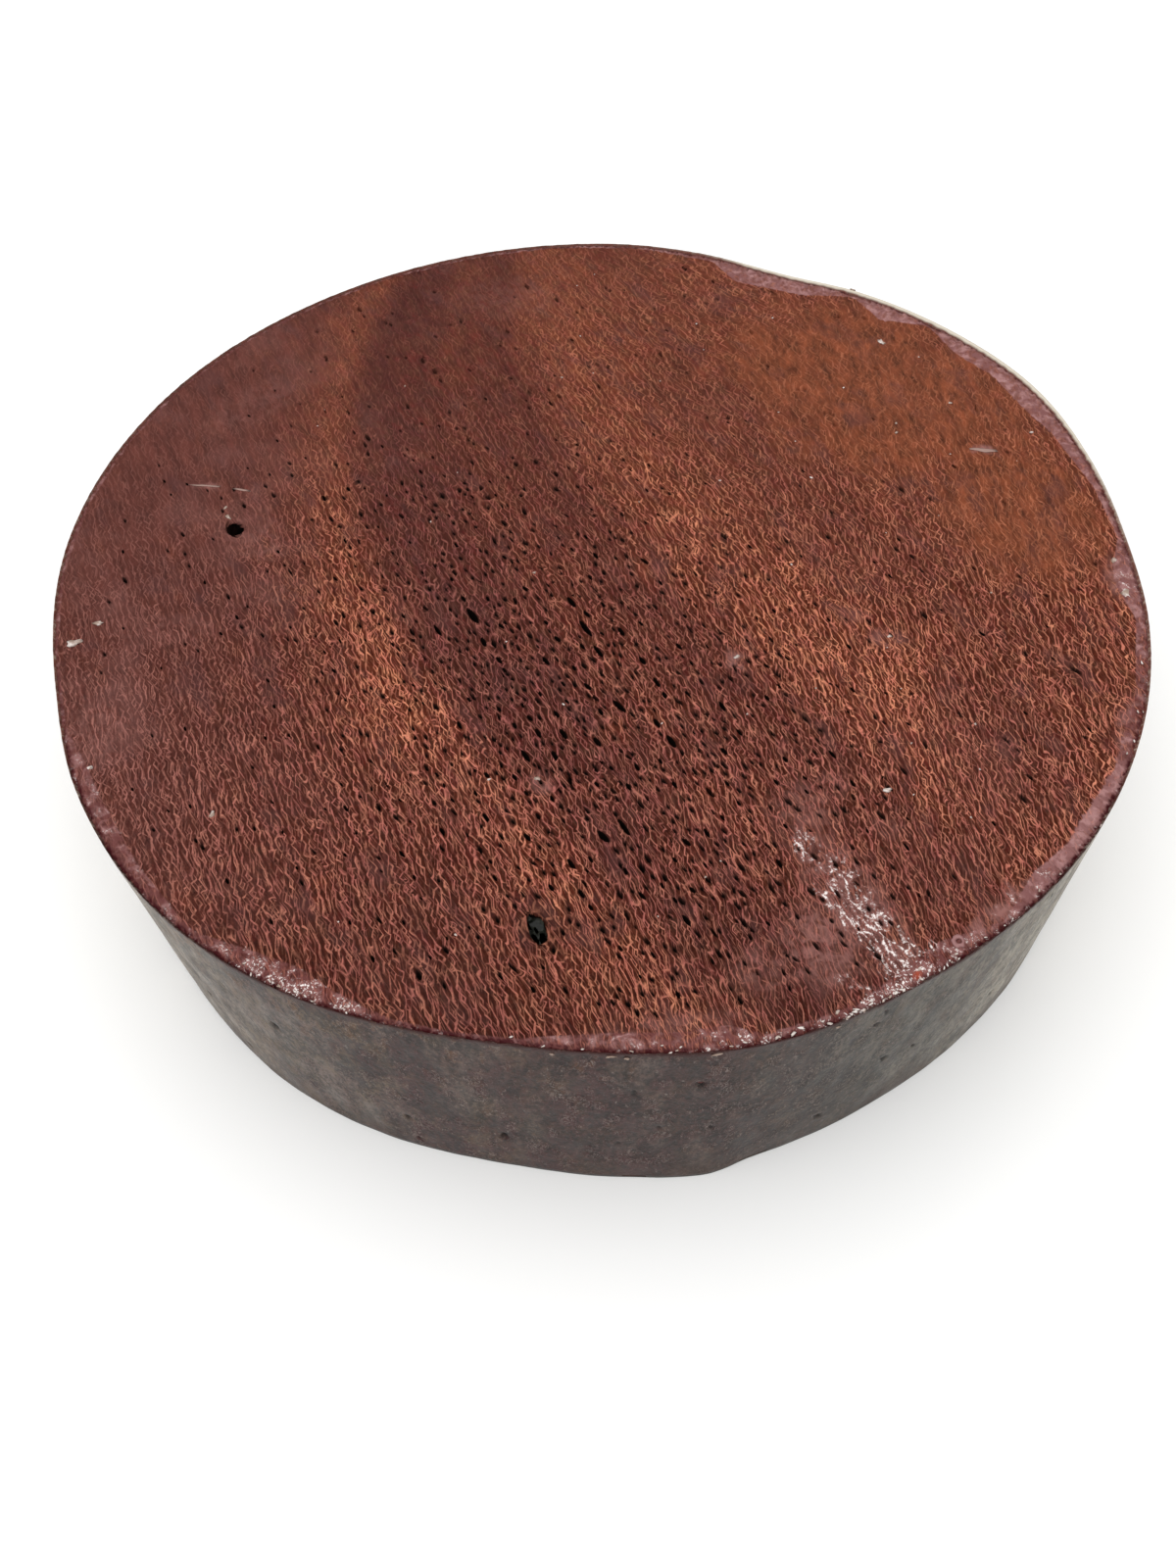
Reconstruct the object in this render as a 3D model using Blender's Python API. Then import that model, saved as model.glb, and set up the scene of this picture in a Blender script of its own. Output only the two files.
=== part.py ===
"""A sawn round of dark red, net-figured timber, sealed with wax round its rim.

The round lies flat: the middle of its base is the origin, +Z is up and +X points right.
Lengths are in metres. Angles are in degrees, counted from +X towards +Y, and -Y is the front.
"""

import math
import random

import bmesh
import bpy
from mathutils import Matrix, Vector

# Driving dimensions
RADIUS = 0.100
THICKNESS = 0.050
WAX_FILM = 0.0003
TOP_ARRIS = 0.0006
BASE_ARRIS = 0.0010

OUTLINE_STEPS = 144
RIM_BANDS = 2
MILLIMETRE = 0.001

# How far the band saw strayed from the compass circle at the top face: (angle, millimetres)
TOP_SAW_LINE = (
    (2, -1.1), (14, 0.3), (28, 2.3), (41, 1.5), (54, -0.3), (64, -2.6), (76, -1.0), (88, 0.2),
    (128, 0.0), (150, 0.4), (176, -0.1), (198, -1.3), (212, 0.3), (228, 1.4), (242, 0.7),
    (260, -1.4), (272, -0.8), (283, 0.6), (300, 0.1), (318, 0.3), (334, 0.0), (350, -0.6),
)

# How far the blade leaned from there down to the base: (angle, millimetres)
SAW_LEAN = (
    (8, 0.4), (40, -0.7), (75, 0.6), (120, 0.3), (165, -0.5), (195, 0.2), (222, -1.8), (240, -0.5),
    (262, 0.8), (280, 1.2), (285, -0.2), (292, -0.5), (318, -0.3), (342, 0.3),
)

# The wax laps from the rim on to the top face. Where it is wide, its edge runs in straight
# chords between these corners: (angle, millimetres in from the rim)
WAX_LAP = (
    (2, 1.4), (10, 2.0), (20, 3.8), (25, 5.2), (32, 4.0), (38, 4.5), (49, 5.6), (60, 4.8),
    (70, 6.4), (74, 1.6), (204, 1.0), (210, 3.1), (214, 3.2), (223, 2.7), (232, 1.3), (238, 3.8),
    (242, 4.6), (247, 2.8), (252, 1.2), (263, 1.2), (270, 3.0), (277, 3.2), (281, 3.8),
    (284, 1.3), (292, 1.4), (302, 4.0), (314, 3.3), (319, 1.8), (350, 1.4), (355, 4.4), (358, 3.8),
)
THIN_LAP = 0.9
THIN_LAP_STEP = 11

# Open pores: lens-shaped pits, strung in rows that lean down to the front right
PORE_LEAN = 120
PORE_ROW_SPACING = 0.0042
PORE_STEP = 0.0021
PORE_GAP = 0.0003
SHORTEST_PORE = 0.0012
LONGEST_PORE = 0.0046
ROUND_PORE = 0.0022
TOP_PORES = 270
BASE_PORES = 100
RIM_PORES = 30
PORE_RISE = 0.0004
PORE_FIELD_EDGE = 0.093

# The two knot holes in the top face: centre, mean radius, depth, and each corner's share of it
KNOT_HOLES = (
    (
        (-0.0689, 0.0079), 0.0021, 0.009,
        (1.00, 0.78, 0.55, 0.92, 1.10, 0.96, 0.86, 0.72, 0.80, 1.25, 1.75, 1.05),
    ),
    (
        (-0.0096, -0.0788), 0.0027, 0.007,
        (0.95, 0.86, 0.84, 1.02, 1.25, 1.00, 0.82, 0.78, 0.84, 1.05, 1.22, 1.04),
    ),
)

# sRGB 112, 63, 53 and its sealed gloss
WOOD_COLOUR = (0.162, 0.050, 0.036, 1.0)
WOOD_ROUGHNESS = 0.45


def clear_scene():
    for thing in list(bpy.data.objects):
        bpy.data.objects.remove(thing, do_unlink=True)


def new_collection(name):
    collection = bpy.data.collections.new(name)
    bpy.context.scene.collection.children.link(collection)
    return collection


def on_ring(points, angle):
    """The value at an angle, on a smooth closed curve through (angle, value) points."""
    count = len(points)
    behind = max((i for i in range(count) if points[i][0] <= angle % 360), default=count - 1)
    (a0, v0), (a1, v1), (a2, v2), (a3, v3) = (points[(behind + k) % count] for k in (-1, 0, 1, 2))
    span = (a2 - a1) % 360
    share = ((angle - a1) % 360) / span
    slope_in = (v2 - v0) / ((a2 - a0) % 360) * span
    slope_out = (v3 - v1) / ((a3 - a1) % 360) * span
    square, cube = share**2, share**3
    return (
        (2 * cube - 3 * square + 1) * v1
        + (cube - 2 * square + share) * slope_in
        + (3 * square - 2 * cube) * v2
        + (cube - square) * slope_out
    )


def rim_radius(angle, height):
    """The sawn rim's distance from the compass point, at an angle and a height."""
    strayed = on_ring(TOP_SAW_LINE, angle)
    leaned = on_ring(SAW_LEAN, angle) * (1 - height / THICKNESS)
    return RADIUS + (strayed + leaned) * MILLIMETRE


def polar(angle, radius):
    return Vector((radius * math.cos(math.radians(angle)), radius * math.sin(math.radians(angle)), 0))


def outline_middle():
    """The middle of the outline's bounding box, which goes over the origin."""
    points = [
        polar(360 * step / OUTLINE_STEPS, rim_radius(360 * step / OUTLINE_STEPS, height))
        for step in range(OUTLINE_STEPS)
        for height in (0, THICKNESS)
    ]
    lowest = Vector([min(p[axis] for p in points) for axis in range(3)])
    highest = Vector([max(p[axis] for p in points) for axis in range(3)])
    return (lowest + highest) / 2


def wood_material():
    material = bpy.data.materials.new("sealed_wood")
    material.use_nodes = True
    shader = material.node_tree.nodes["Principled BSDF"]
    shader.inputs["Base Color"].default_value = WOOD_COLOUR
    shader.inputs["Roughness"].default_value = WOOD_ROUGHNESS
    shader.inputs["Metallic"].default_value = 0.0
    return material


def object_of(name, bm, collection):
    mesh = bpy.data.meshes.new(name)
    bmesh.ops.recalc_face_normals(bm, faces=bm.faces)
    bm.to_mesh(mesh)
    bm.free()
    thing = bpy.data.objects.new(name, mesh)
    collection.objects.link(thing)
    return thing


def sawn_round(collection):
    """The round as the band saw left it, with both arrises worn by the wax dip."""
    bm = bmesh.new()
    bmesh.ops.create_circle(bm, cap_ends=True, segments=OUTLINE_STEPS, radius=RADIUS)
    base = list(bm.faces)
    raised = bmesh.ops.extrude_face_region(bm, geom=base)["geom"]
    top = [v for v in raised if isinstance(v, bmesh.types.BMVert)]
    bmesh.ops.translate(bm, vec=(0, 0, THICKNESS), verts=top)
    uprights = [e for e in bm.edges if abs(e.verts[0].co.z - e.verts[1].co.z) > THICKNESS / 2]
    bmesh.ops.subdivide_edges(bm, edges=uprights, cuts=RIM_BANDS - 1)
    for vert in bm.verts:
        angle = math.degrees(math.atan2(vert.co.y, vert.co.x)) % 360
        vert.co.xy = polar(angle, rim_radius(angle, vert.co.z)).xy
    for height, width in ((0, BASE_ARRIS), (THICKNESS, TOP_ARRIS)):
        arris = [e for e in bm.edges if all(abs(v.co.z - height) < PORE_GAP for v in e.verts)]
        bmesh.ops.bevel(
            bm, geom=arris, offset=width, segments=2, profile=0.5, affect="EDGES", material=-1
        )
    return object_of("wood_slice", bm, collection)


def lap_corners():
    """The corners of the lap's edge, with thin ones filled in where the wax barely laps over."""
    corners = []
    for (angle, inset), (later, _) in zip(WAX_LAP, WAX_LAP[1:] + WAX_LAP[:1]):
        gap = (later - angle) % 360
        extra = int(gap / THIN_LAP_STEP)
        corners.append((angle, inset))
        corners += [(angle + gap * k / (extra + 1), THIN_LAP) for k in range(1, extra + 1)]
    return corners


def lap_recess(collection):
    """What is left bare inside the wax lap: a shallow prism with straight chords."""
    corners = lap_corners()
    bm = bmesh.new()
    bmesh.ops.create_circle(bm, cap_ends=True, segments=len(corners), radius=RADIUS)
    bm.verts.ensure_lookup_table()
    for vert, (angle, inset) in zip(bm.verts, corners):
        vert.co = polar(angle, rim_radius(angle, THICKNESS) - inset * MILLIMETRE)
    raised = bmesh.ops.extrude_face_region(bm, geom=list(bm.faces))["geom"]
    lifted = [v for v in raised if isinstance(v, bmesh.types.BMVert)]
    bmesh.ops.translate(bm, vec=(0, 0, 2 * WAX_FILM), verts=lifted)
    bmesh.ops.translate(bm, vec=(0, 0, THICKNESS - WAX_FILM), verts=bm.verts)
    return object_of("lap_recess", bm, collection)


def pore_share(x, y):
    """How crowded the pores are at a point of a face: most in the front middle, few at the sides."""
    across = (x + 0.004) / 0.044
    along = (y + 0.036) / 0.052
    return 0.05 + 0.95 * math.exp(-(across**2) - along**2)


def pore_row(start, y):
    """Where a row of pores lies at y, for the row that crosses y = 0 at start."""
    return start - 0.44 * y + 0.7 * y * y


def clear_of(pores, x, y, reach):
    """Whether a pore here stays clear of the others and of the knot holes."""
    holes = [(hx, hy, 2 * radius) for (hx, hy), radius, _, _ in KNOT_HOLES]
    return all(math.hypot(x - px, y - py) > reach + other + PORE_GAP for px, py, other in pores + holes)


def scattered_pores(draw, wanted):
    """(x, y, length, width, lean) of pores along their rows, until as many as wanted are placed."""
    taken, pores = [], []
    rows = int(2 * PORE_FIELD_EDGE / PORE_ROW_SPACING)
    while len(pores) < wanted:
        start = (draw.randrange(-rows, rows + 1) + draw.gauss(0, 0.08)) * PORE_ROW_SPACING
        step = draw.randrange(int(-PORE_FIELD_EDGE / PORE_STEP), int(PORE_FIELD_EDGE / PORE_STEP) + 1)
        y = (step + draw.uniform(-0.4, 0.4)) * PORE_STEP
        x = pore_row(start, y)
        length = min(SHORTEST_PORE + draw.expovariate(1 / 0.00055), LONGEST_PORE)
        width = 0.43 * length**0.62 * MILLIMETRE**0.38 * draw.uniform(0.95, 1.25)
        if math.hypot(x, y) > PORE_FIELD_EDGE or draw.random() > pore_share(x, y):
            continue
        if clear_of(taken, x, y, length / 2):
            taken.append((x, y, length / 2))
            pores.append((x, y, length, width, PORE_LEAN + draw.gauss(0, 6)))
    return pores


def sink_pore(bm, place, length, width):
    """A lens-shaped pit cutter whose mouth lies in the place's XY plane, its point along -Z."""
    depth = 0.5 * length + 0.4 * MILLIMETRE
    if length > ROUND_PORE:
        stretch = Matrix.Diagonal((length / 2, width / 2, depth, 1))
        lift = Matrix.Translation((0, 0, 0.15))
        bmesh.ops.create_uvsphere(
            bm, u_segments=8, v_segments=5, radius=1.06, matrix=place @ stretch @ lift
        )
        return
    grown = 1 + PORE_RISE / depth
    stretch = Matrix.Diagonal((length / 2, width / 2, 1, 1))
    drop = Matrix.Translation((0, 0, (PORE_RISE - depth) / 2))
    bmesh.ops.create_cone(
        bm, cap_ends=True, segments=6, radius1=0, radius2=grown, depth=depth + PORE_RISE,
        matrix=place @ drop @ stretch,
    )


def face_pore_cutters(collection):
    """The pores of the top face and, fewer, of the base, which faces down."""
    draw = random.Random(41)
    bm = bmesh.new()
    for x, y, length, width, lean in scattered_pores(draw, TOP_PORES):
        place = Matrix.Translation((x, y, THICKNESS - WAX_FILM))
        sink_pore(bm, place @ Matrix.Rotation(math.radians(lean), 4, "Z"), length, width)
    turned = Matrix.Rotation(math.pi, 4, "X")
    for x, y, length, width, lean in scattered_pores(draw, BASE_PORES):
        place = Matrix.Translation((x, y, 0)) @ Matrix.Rotation(math.radians(-lean), 4, "Z")
        sink_pore(bm, place @ turned, length, width)
    return object_of("face_pores", bm, collection)


def rim_pore_cutters(collection):
    """Small pits in the rim, where the saw crossed the same pores."""
    draw = random.Random(17)
    bm = bmesh.new()
    for index in range(RIM_PORES):
        angle = 360 * (index + draw.uniform(-0.35, 0.35)) / RIM_PORES
        height = draw.uniform(0.006, THICKNESS - 0.008)
        length = draw.uniform(0.0010, 0.0018)
        spot = polar(angle, rim_radius(angle, height)) + Vector((0, 0, height))
        outward = Matrix.Rotation(math.radians(angle), 4, "Z") @ Matrix.Rotation(math.pi / 2, 4, "Y")
        turned = Matrix.Rotation(math.radians(draw.uniform(0, 180)), 4, "Z")
        sink_pore(bm, Matrix.Translation(spot) @ outward @ turned, length, 0.8 * length)
    return object_of("rim_pores", bm, collection)


def knot_hole_cutters(collection):
    """Two tapering holes with ragged outlines, where small knots fell out."""
    bm = bmesh.new()
    for (x, y), radius, depth, shares in KNOT_HOLES:
        middle = THICKNESS + (PORE_RISE - depth) / 2
        made = bmesh.ops.create_cone(
            bm, cap_ends=True, segments=len(shares), radius1=0.45 * radius, radius2=radius,
            depth=depth + PORE_RISE, matrix=Matrix.Translation((x, y, middle)),
        )
        for vert in made["verts"]:
            turn = math.atan2(vert.co.y - y, vert.co.x - x) / (2 * math.pi)
            share = shares[round(turn * len(shares)) % len(shares)]
            vert.co.x = x + (vert.co.x - x) * share
            vert.co.y = y + (vert.co.y - y) * share
    return object_of("knot_holes", bm, collection)


def cut(body, cutters):
    """Takes each cutter out of the body, and keeps the cutters as hidden wires."""
    for cutter in cutters:
        cutter.hide_render = True
        cutter.display_type = "WIRE"
        boolean = body.modifiers.new(cutter.name, "BOOLEAN")
        boolean.operation = "DIFFERENCE"
        boolean.object = cutter


def main():
    clear_scene()
    parts = new_collection("wood_slice")
    helpers = new_collection("cutters")
    body = sawn_round(parts)
    body.data.materials.append(wood_material())
    body.data.shade_smooth()
    body.data.set_sharp_from_angle(angle=math.radians(35))
    cutters = (
        lap_recess(helpers),
        face_pore_cutters(helpers),
        rim_pore_cutters(helpers),
        knot_hole_cutters(helpers),
    )
    cut(body, cutters)
    middle = outline_middle()
    for thing in (body, *cutters):
        thing.location = -middle


main()
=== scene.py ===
"""A sawn, wax-sealed round of dark red, net-figured timber, dressed over its packed solid.

Lengths are in metres where nothing else is said. Angles are in degrees, counted from +X towards
+Y, and -Y is the front. Shapes are worked out round the compass point of the sawn circle, and each
finished piece is then moved so that the middle of its outline stands over the origin.
"""

import math
import random

import bmesh
import bpy
from bpy.props import FloatProperty, FloatVectorProperty, IntProperty, PointerProperty
from mathutils import Matrix, Vector, noise
from mathutils.kdtree import KDTree


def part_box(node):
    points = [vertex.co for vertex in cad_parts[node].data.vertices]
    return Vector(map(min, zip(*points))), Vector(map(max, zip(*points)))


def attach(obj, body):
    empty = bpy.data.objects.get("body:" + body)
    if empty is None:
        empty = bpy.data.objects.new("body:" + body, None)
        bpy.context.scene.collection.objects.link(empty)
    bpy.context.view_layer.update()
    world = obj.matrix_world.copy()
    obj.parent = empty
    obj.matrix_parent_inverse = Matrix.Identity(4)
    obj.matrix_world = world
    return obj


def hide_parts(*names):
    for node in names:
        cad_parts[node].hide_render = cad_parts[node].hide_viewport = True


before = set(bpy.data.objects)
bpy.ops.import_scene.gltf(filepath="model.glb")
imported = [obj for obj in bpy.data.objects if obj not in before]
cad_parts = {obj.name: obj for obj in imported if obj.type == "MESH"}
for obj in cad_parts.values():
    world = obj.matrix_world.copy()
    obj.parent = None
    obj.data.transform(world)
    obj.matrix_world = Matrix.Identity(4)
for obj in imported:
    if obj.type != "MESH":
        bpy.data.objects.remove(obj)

bl_info = {
    "name": "Net-Figured Wood Round",
    "version": (1, 0, 0),
    "blender": (4, 5, 0),
    "location": "View3D > Sidebar > Wood Round",
    "description": "Dresses a sawn round of net-figured, wax-sealed timber",
    "category": "Add Mesh",
}

NODE = "wood_slice"
BODY = "root"

LOWEST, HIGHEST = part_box(NODE)
THICKNESS = HIGHEST.z - LOWEST.z
RADIUS = 0.100
MILLIMETRE = 0.001
OUTLINE_STEPS = 144
WAX_FILM = 0.3 * MILLIMETRE

# How far the band saw strayed from the compass circle at the top face: (angle, millimetres)
TOP_SAW_LINE = (
    (2, -1.1), (14, 0.3), (28, 2.3), (41, 1.5), (54, -0.3), (64, -2.6), (76, -1.0), (88, 0.2),
    (128, 0.0), (150, 0.4), (176, -0.1), (198, -1.3), (212, 0.3), (228, 1.4), (242, 0.7),
    (260, -1.4), (272, -0.8), (283, 0.6), (300, 0.1), (318, 0.3), (334, 0.0), (350, -0.6),
)

# How far the blade leaned from there down to the base: (angle, millimetres)
SAW_LEAN = (
    (8, 0.4), (40, -0.7), (75, 0.6), (120, 0.3), (165, -0.5), (195, 0.2), (222, -1.8), (240, -0.5),
    (262, 0.8), (280, 1.2), (285, -0.2), (292, -0.5), (318, -0.3), (342, 0.3),
)

# How far the wax laps from the rim on to the top face: (angle, millimetres)
WAX_LAP = (
    (2, 1.4), (10, 2.0), (20, 3.8), (25, 5.2), (32, 4.0), (38, 4.5), (49, 5.6), (60, 4.8),
    (70, 6.4), (74, 1.6), (204, 1.0), (210, 3.1), (214, 3.2), (223, 2.7), (232, 1.3), (238, 3.8),
    (242, 4.6), (247, 2.8), (252, 1.2), (263, 1.2), (270, 3.0), (277, 3.2), (281, 3.8),
    (284, 1.3), (292, 1.4), (302, 4.0), (314, 3.3), (319, 1.8), (350, 1.4), (355, 4.4), (358, 3.8),
)
THIN_LAP = 0.9
THIN_LAP_STEP = 11

# How wide the pale lip of wax stands round the wood's top arris: (angle, millimetres)
WAX_LIP = (
    (4, 0.5), (16, 0.8), (30, 1.1), (50, 1.2), (66, 1.0), (76, 0.5), (110, 0.35), (160, 0.35),
    (200, 0.3), (250, 0.25), (300, 0.25), (345, 0.35),
)

LIP_UNEVENNESS = 0.30
THINNEST_LIP = 0.08

# How far the two netted faces keep inside the wax wall
TUCKED_IN = 0.6 * MILLIMETRE

# Open pores, as in the solid
PORE_SEED = 41
RIM_SEED = 17
PORE_LEAN = 120
PORE_ROW_SPACING = 0.0042
PORE_STEP = 0.0021
PORE_GAP = 0.0003
SHORTEST_PORE = 0.0012
LONGEST_PORE = 0.0046
TOP_PORES = 270
BASE_PORES = 100
RIM_PORES = 30
PORE_FIELD_EDGE = 0.093

# Two knot holes in the top face: centre, mean radius, depth, each corner's share, stretch and lean
KNOT_HOLES = (
    (
        (-0.0689, 0.0079), 0.0021, 0.009,
        (1.00, 0.78, 0.55, 0.92, 1.10, 0.96, 0.86, 0.72, 0.80, 1.25, 1.75, 1.05), 1.0, 0,
    ),
    (
        (-0.0096, -0.0788), 0.0027, 0.007,
        (1.25, 1.00, 0.82, 0.78, 0.84, 1.05, 1.22, 1.04, 0.95, 0.86, 0.84, 1.02), 1.2, 114,
    ),
)

# How light the timber is across its bands: (place across, tone)
BAND_TONES = (
    (-1.5, 0.45), (-0.55, 0.35), (-0.33, 0.22), (-0.22, 0.42), (-0.10, 0.72), (-0.02, 1.00),
    (0.04, 0.85), (0.11, 0.24), (0.20, 0.02), (0.38, 0.12), (0.53, 0.34), (0.68, 0.26), (0.80, 0.22),
    (0.90, 0.55), (1.00, 0.86), (1.12, 1.00), (1.26, 0.88), (1.40, 0.64), (1.55, 0.60), (1.72, 0.62),
    (1.90, 0.80), (2.10, 0.92), (2.50, 0.92),
)

# Where the timber is lighter or darker than its bands: (x, y, reach, reach, turn, share, tone)
TONE_SPOTS = (
    (67, -46, 15, 25, 25, 0.75, 0.25), (-25, -63, 15, 27, 20, 0.55, 0.22),
    (19, -62, 15, 17, 0, 0.40, 0.50), (2, 70, 26, 24, 0, 0.50, 1.10),
)

# Pores that stand out from the rest by their size: (x, y, length, width), in millimetres
LONG_PORES = (
    (-2.1, -18.2, 4.6, 1.0), (6.1, -47.5, 3.5, 1.1), (4.0, -60.5, 3.9, 0.8), (-4.7, -11.8, 3.1, 0.9),
    (-22.7, 14.4, 3.3, 0.84), (0.1, -23.6, 3.4, 0.75), (-28.5, -18.4, 3.7, 0.72),
    (-48.4, 18.5, 2.5, 0.94), (11.4, -39.5, 2.6, 1.1), (28.8, -34.3, 2.4, 1.0), (53.6, -5.9, 2.7, 0.68),
    (43.6, -32.7, 2.3, 0.8), (30.8, -47.4, 2.4, 0.9), (-13.8, -50.3, 2.6, 0.8), (-66.8, 48.5, 2.6, 0.6),
)

# How much of its width each knot hole keeps at the face
KNOT_MOUTHS = (0.95, 0.80)

# How far a knot hole's outline strays in and out
KNOT_RAGGEDNESS = 0.30

# The wax seal draws the pores' mouths in to this share, least in the belt where the pores crowd
CROWDED_MOUTH = 0.95
LONE_MOUTH = 0.55

# Thin dry wax on the top face: (x, y, reach along, reach across, turn, strength), in millimetres
HAZES = (
    (-84.0, -41.0, 8.0, 10.0, 20, 0.40), (-77.0, -17.5, 13.0, 5.0, 5, 0.25),
    (-9.2, -51.7, 2.2, 2.8, 0, 0.85), (23.9, -25.9, 2.2, 2.8, 0, 0.90),
    (50.9, -21.1, 3.8, 2.8, 0, 0.55), (45.6, -15.2, 3.0, 2.4, 0, 0.40),
    (45.6, -60.9, 3.5, 2.5, 0, 0.35), (-66.0, 6.0, 8.0, 7.0, 0, 0.40), (-61.0, 1.5, 4.0, 3.0, 0, 0.40),
    (38.0, -52.7, 4.0, 3.0, 0, 0.30), (33.0, -57.5, 7.0, 6.0, -62, 0.45),
    (33.6, -82.0, 8.0, 8.5, 0, 0.85), (24.0, -86.0, 6.0, 5.0, 20, 0.45),
    (38.5, -74.0, 17.0, 6.5, -64, 0.75), (60.8, -75.8, 10.0, 1.5, 38, 1.30),
    (88.5, -40.0, 9.0, 1.3, 68, 0.80), (76.9, 28.2, 3.4, 1.2, -8, 1.40),
    (-76.0, 19.6, 4.0, 0.9, -5, 0.90), (95.4, -7.0, 6.5, 3.2, 82, 1.00),
    (10.0, -95.0, 16.0, 2.4, 8, 0.45), (-59.0, -9.0, 12.0, 5.0, 10, 0.25),
    (-70.0, 45.0, 18.0, 7.0, 45, 0.22), (-20.0, 80.0, 16.0, 9.0, 0, 0.20),
)

# Where the dry wax is glossy, with painted highlights on its crests and painted shade in its troughs, in the
# same order
PAINTED_GLINTS = (
    (33.0, -65.0, 6.0, 3.0, -50, 0.55), (38.0, -71.0, 6.5, 3.8, -66, 0.85),
    (40.5, -78.0, 9.5, 4.2, -62, 0.95), (44.4, -84.2, 5.0, 4.2, -60, 1.20),
    (36.4, -87.5, 3.2, 2.2, -40, 0.50), (34.0, -73.5, 4.5, 1.8, -60, 0.55),
    (95.8, -8.0, 4.2, 2.0, 82, 0.55), (62.0, -74.4, 6.5, 0.9, 38, 0.55),
    (68.0, -69.5, 3.0, 1.2, 42, 0.80),
)

# How much the lap glistens, as painted glints: (angle, share)
LAP_SHINE = (
    (10, 0.15), (30, 0.2), (60, 0.2), (85, 0.0), (180, 0.1), (205, 0.25), (218, 0.3), (232, 0.3),
    (240, 0.6), (245, 0.7), (254, 0.3), (266, 0.2), (278, 0.4), (288, 0.7), (297, 1.0), (303, 0.5),
    (314, 0.35), (330, 0.25), (350, 0.3),
)

# How far the threads lean at the right of the top face, where they stand more upright than elsewhere
LEAN_AT_RIGHT = 0.12

# How far the wax's mauve reaches beyond the lap: (angle, millimetres)
BLUSH = (
    (0, 0.2), (15, 0.4), (35, 1.0), (66, 0.9), (78, 0.2), (90, 0.0), (250, 0.0), (280, 0.3), (300, 0.2),
    (314, 0.5), (322, 1.2), (336, 1.4), (348, 0.9),
)

# How thick and pale the wax on the rim is, and at the left and right sides a painted sheen of grazing
# reflection as well: (angle, share)
RIM_WAX_AND_SHEEN = (
    (0, 0.85), (40, 0.34), (90, 0.22), (150, 0.30), (195, 1.0), (215, 0.78), (230, 0.30), (244, 0.10),
    (258, 0.0), (275, 0.0), (288, 0.02), (300, 0.10), (312, 0.34), (325, 0.76), (340, 1.0),
)

# Loose chips and smears of white wax on the top face: (x, y, length, width, turn), in millimetres
WAX_CHIPS = (
    (-92.8, -21.0, 2.6, 1.5, 20), (-89.5, -16.3, 1.8, 0.8, 5), (-84.3, -48.4, 1.7, 0.9, 10),
    (-62.1, -57.7, 1.4, 0.8, 65), (-10.0, -51.0, 1.0, 0.7, 0), (61.1, 62.9, 1.7, 1.1, -60),
    (72.4, 42.7, 0.7, 0.5, 0), (87.2, 33.4, 0.8, 0.5, 20), (60.2, 33.7, 0.7, 0.5, 40),
    (46.6, -53.7, 1.5, 0.9, 10), (-11.6, -4.5, 0.6, 0.5, 0), (24.3, -25.2, 1.0, 0.7, 30),
    (51.5, -20.6, 0.9, 0.6, 10), (-70.6, 10.9, 1.5, 0.7, -45), (76.9, 28.2, 5.4, 1.1, -8),
    (-76.0, 19.6, 6.0, 0.55, -5), (-69.2, 18.4, 3.4, 0.45, -14), (-71.5, 13.4, 0.9, 0.5, 70),
    (95.6, -11.0, 2.6, 1.6, 80), (95.2, -2.4, 1.6, 0.9, 60), (24.0, 20.0, 0.6, 0.4, 0),
)


def on_ring(points, angle):
    """The value at an angle, on a smooth closed curve through (angle, value) points."""
    count = len(points)
    behind = max((i for i in range(count) if points[i][0] <= angle % 360), default=count - 1)
    (a0, v0), (a1, v1), (a2, v2), (a3, v3) = (points[(behind + k) % count] for k in (-1, 0, 1, 2))
    span = (a2 - a1) % 360
    share = ((angle - a1) % 360) / span
    slope_in = (v2 - v0) / ((a2 - a0) % 360) * span
    slope_out = (v3 - v1) / ((a3 - a1) % 360) * span
    square, cube = share**2, share**3
    return (
        (2 * cube - 3 * square + 1) * v1
        + (cube - 2 * square + share) * slope_in
        + (3 * square - 2 * cube) * v2
        + (cube - square) * slope_out
    )


def rim_radius(angle, height):
    """The sawn rim's distance from the compass point, at an angle and a height."""
    strayed = on_ring(TOP_SAW_LINE, angle)
    leaned = on_ring(SAW_LEAN, angle) * (1 - height / THICKNESS)
    return RADIUS + (strayed + leaned) * MILLIMETRE


def looked_up(value_at):
    """The same values round the ring, but quick to look up."""
    table = [value_at(angle / 4) for angle in range(1441)]

    def look_up(angle):
        place = angle % 360 * 4
        step = min(int(place), 1439)
        return table[step] + (table[step + 1] - table[step]) * (place - step)

    return look_up


def polar(angle, radius):
    return Vector((radius * math.cos(math.radians(angle)), radius * math.sin(math.radians(angle)), 0))


def angle_of(point):
    return math.degrees(math.atan2(point.y, point.x)) % 360


def outline_middle():
    """The middle of the outline's bounding box, which goes over the origin."""
    points = [
        polar(360 * step / OUTLINE_STEPS, rim_radius(360 * step / OUTLINE_STEPS, height))
        for step in range(OUTLINE_STEPS)
        for height in (0, THICKNESS)
    ]
    lowest = Vector([min(p[axis] for p in points) for axis in range(3)])
    highest = Vector([max(p[axis] for p in points) for axis in range(3)])
    return (lowest + highest) / 2


MIDDLE = outline_middle()


def smooth_step(low, high, value):
    share = min(max((value - low) / (high - low), 0), 1)
    return share * share * (3 - 2 * share)


def lap_corners():
    """The corners of the lap's edge, with thin ones filled in where the wax barely laps over."""
    corners = []
    for (angle, inset), (later, _) in zip(WAX_LAP, WAX_LAP[1:] + WAX_LAP[:1]):
        gap = (later - angle) % 360
        extra = int(gap / THIN_LAP_STEP)
        corners.append((angle, inset))
        corners += [(angle + gap * k / (extra + 1), THIN_LAP) for k in range(1, extra + 1)]
    return corners


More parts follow.
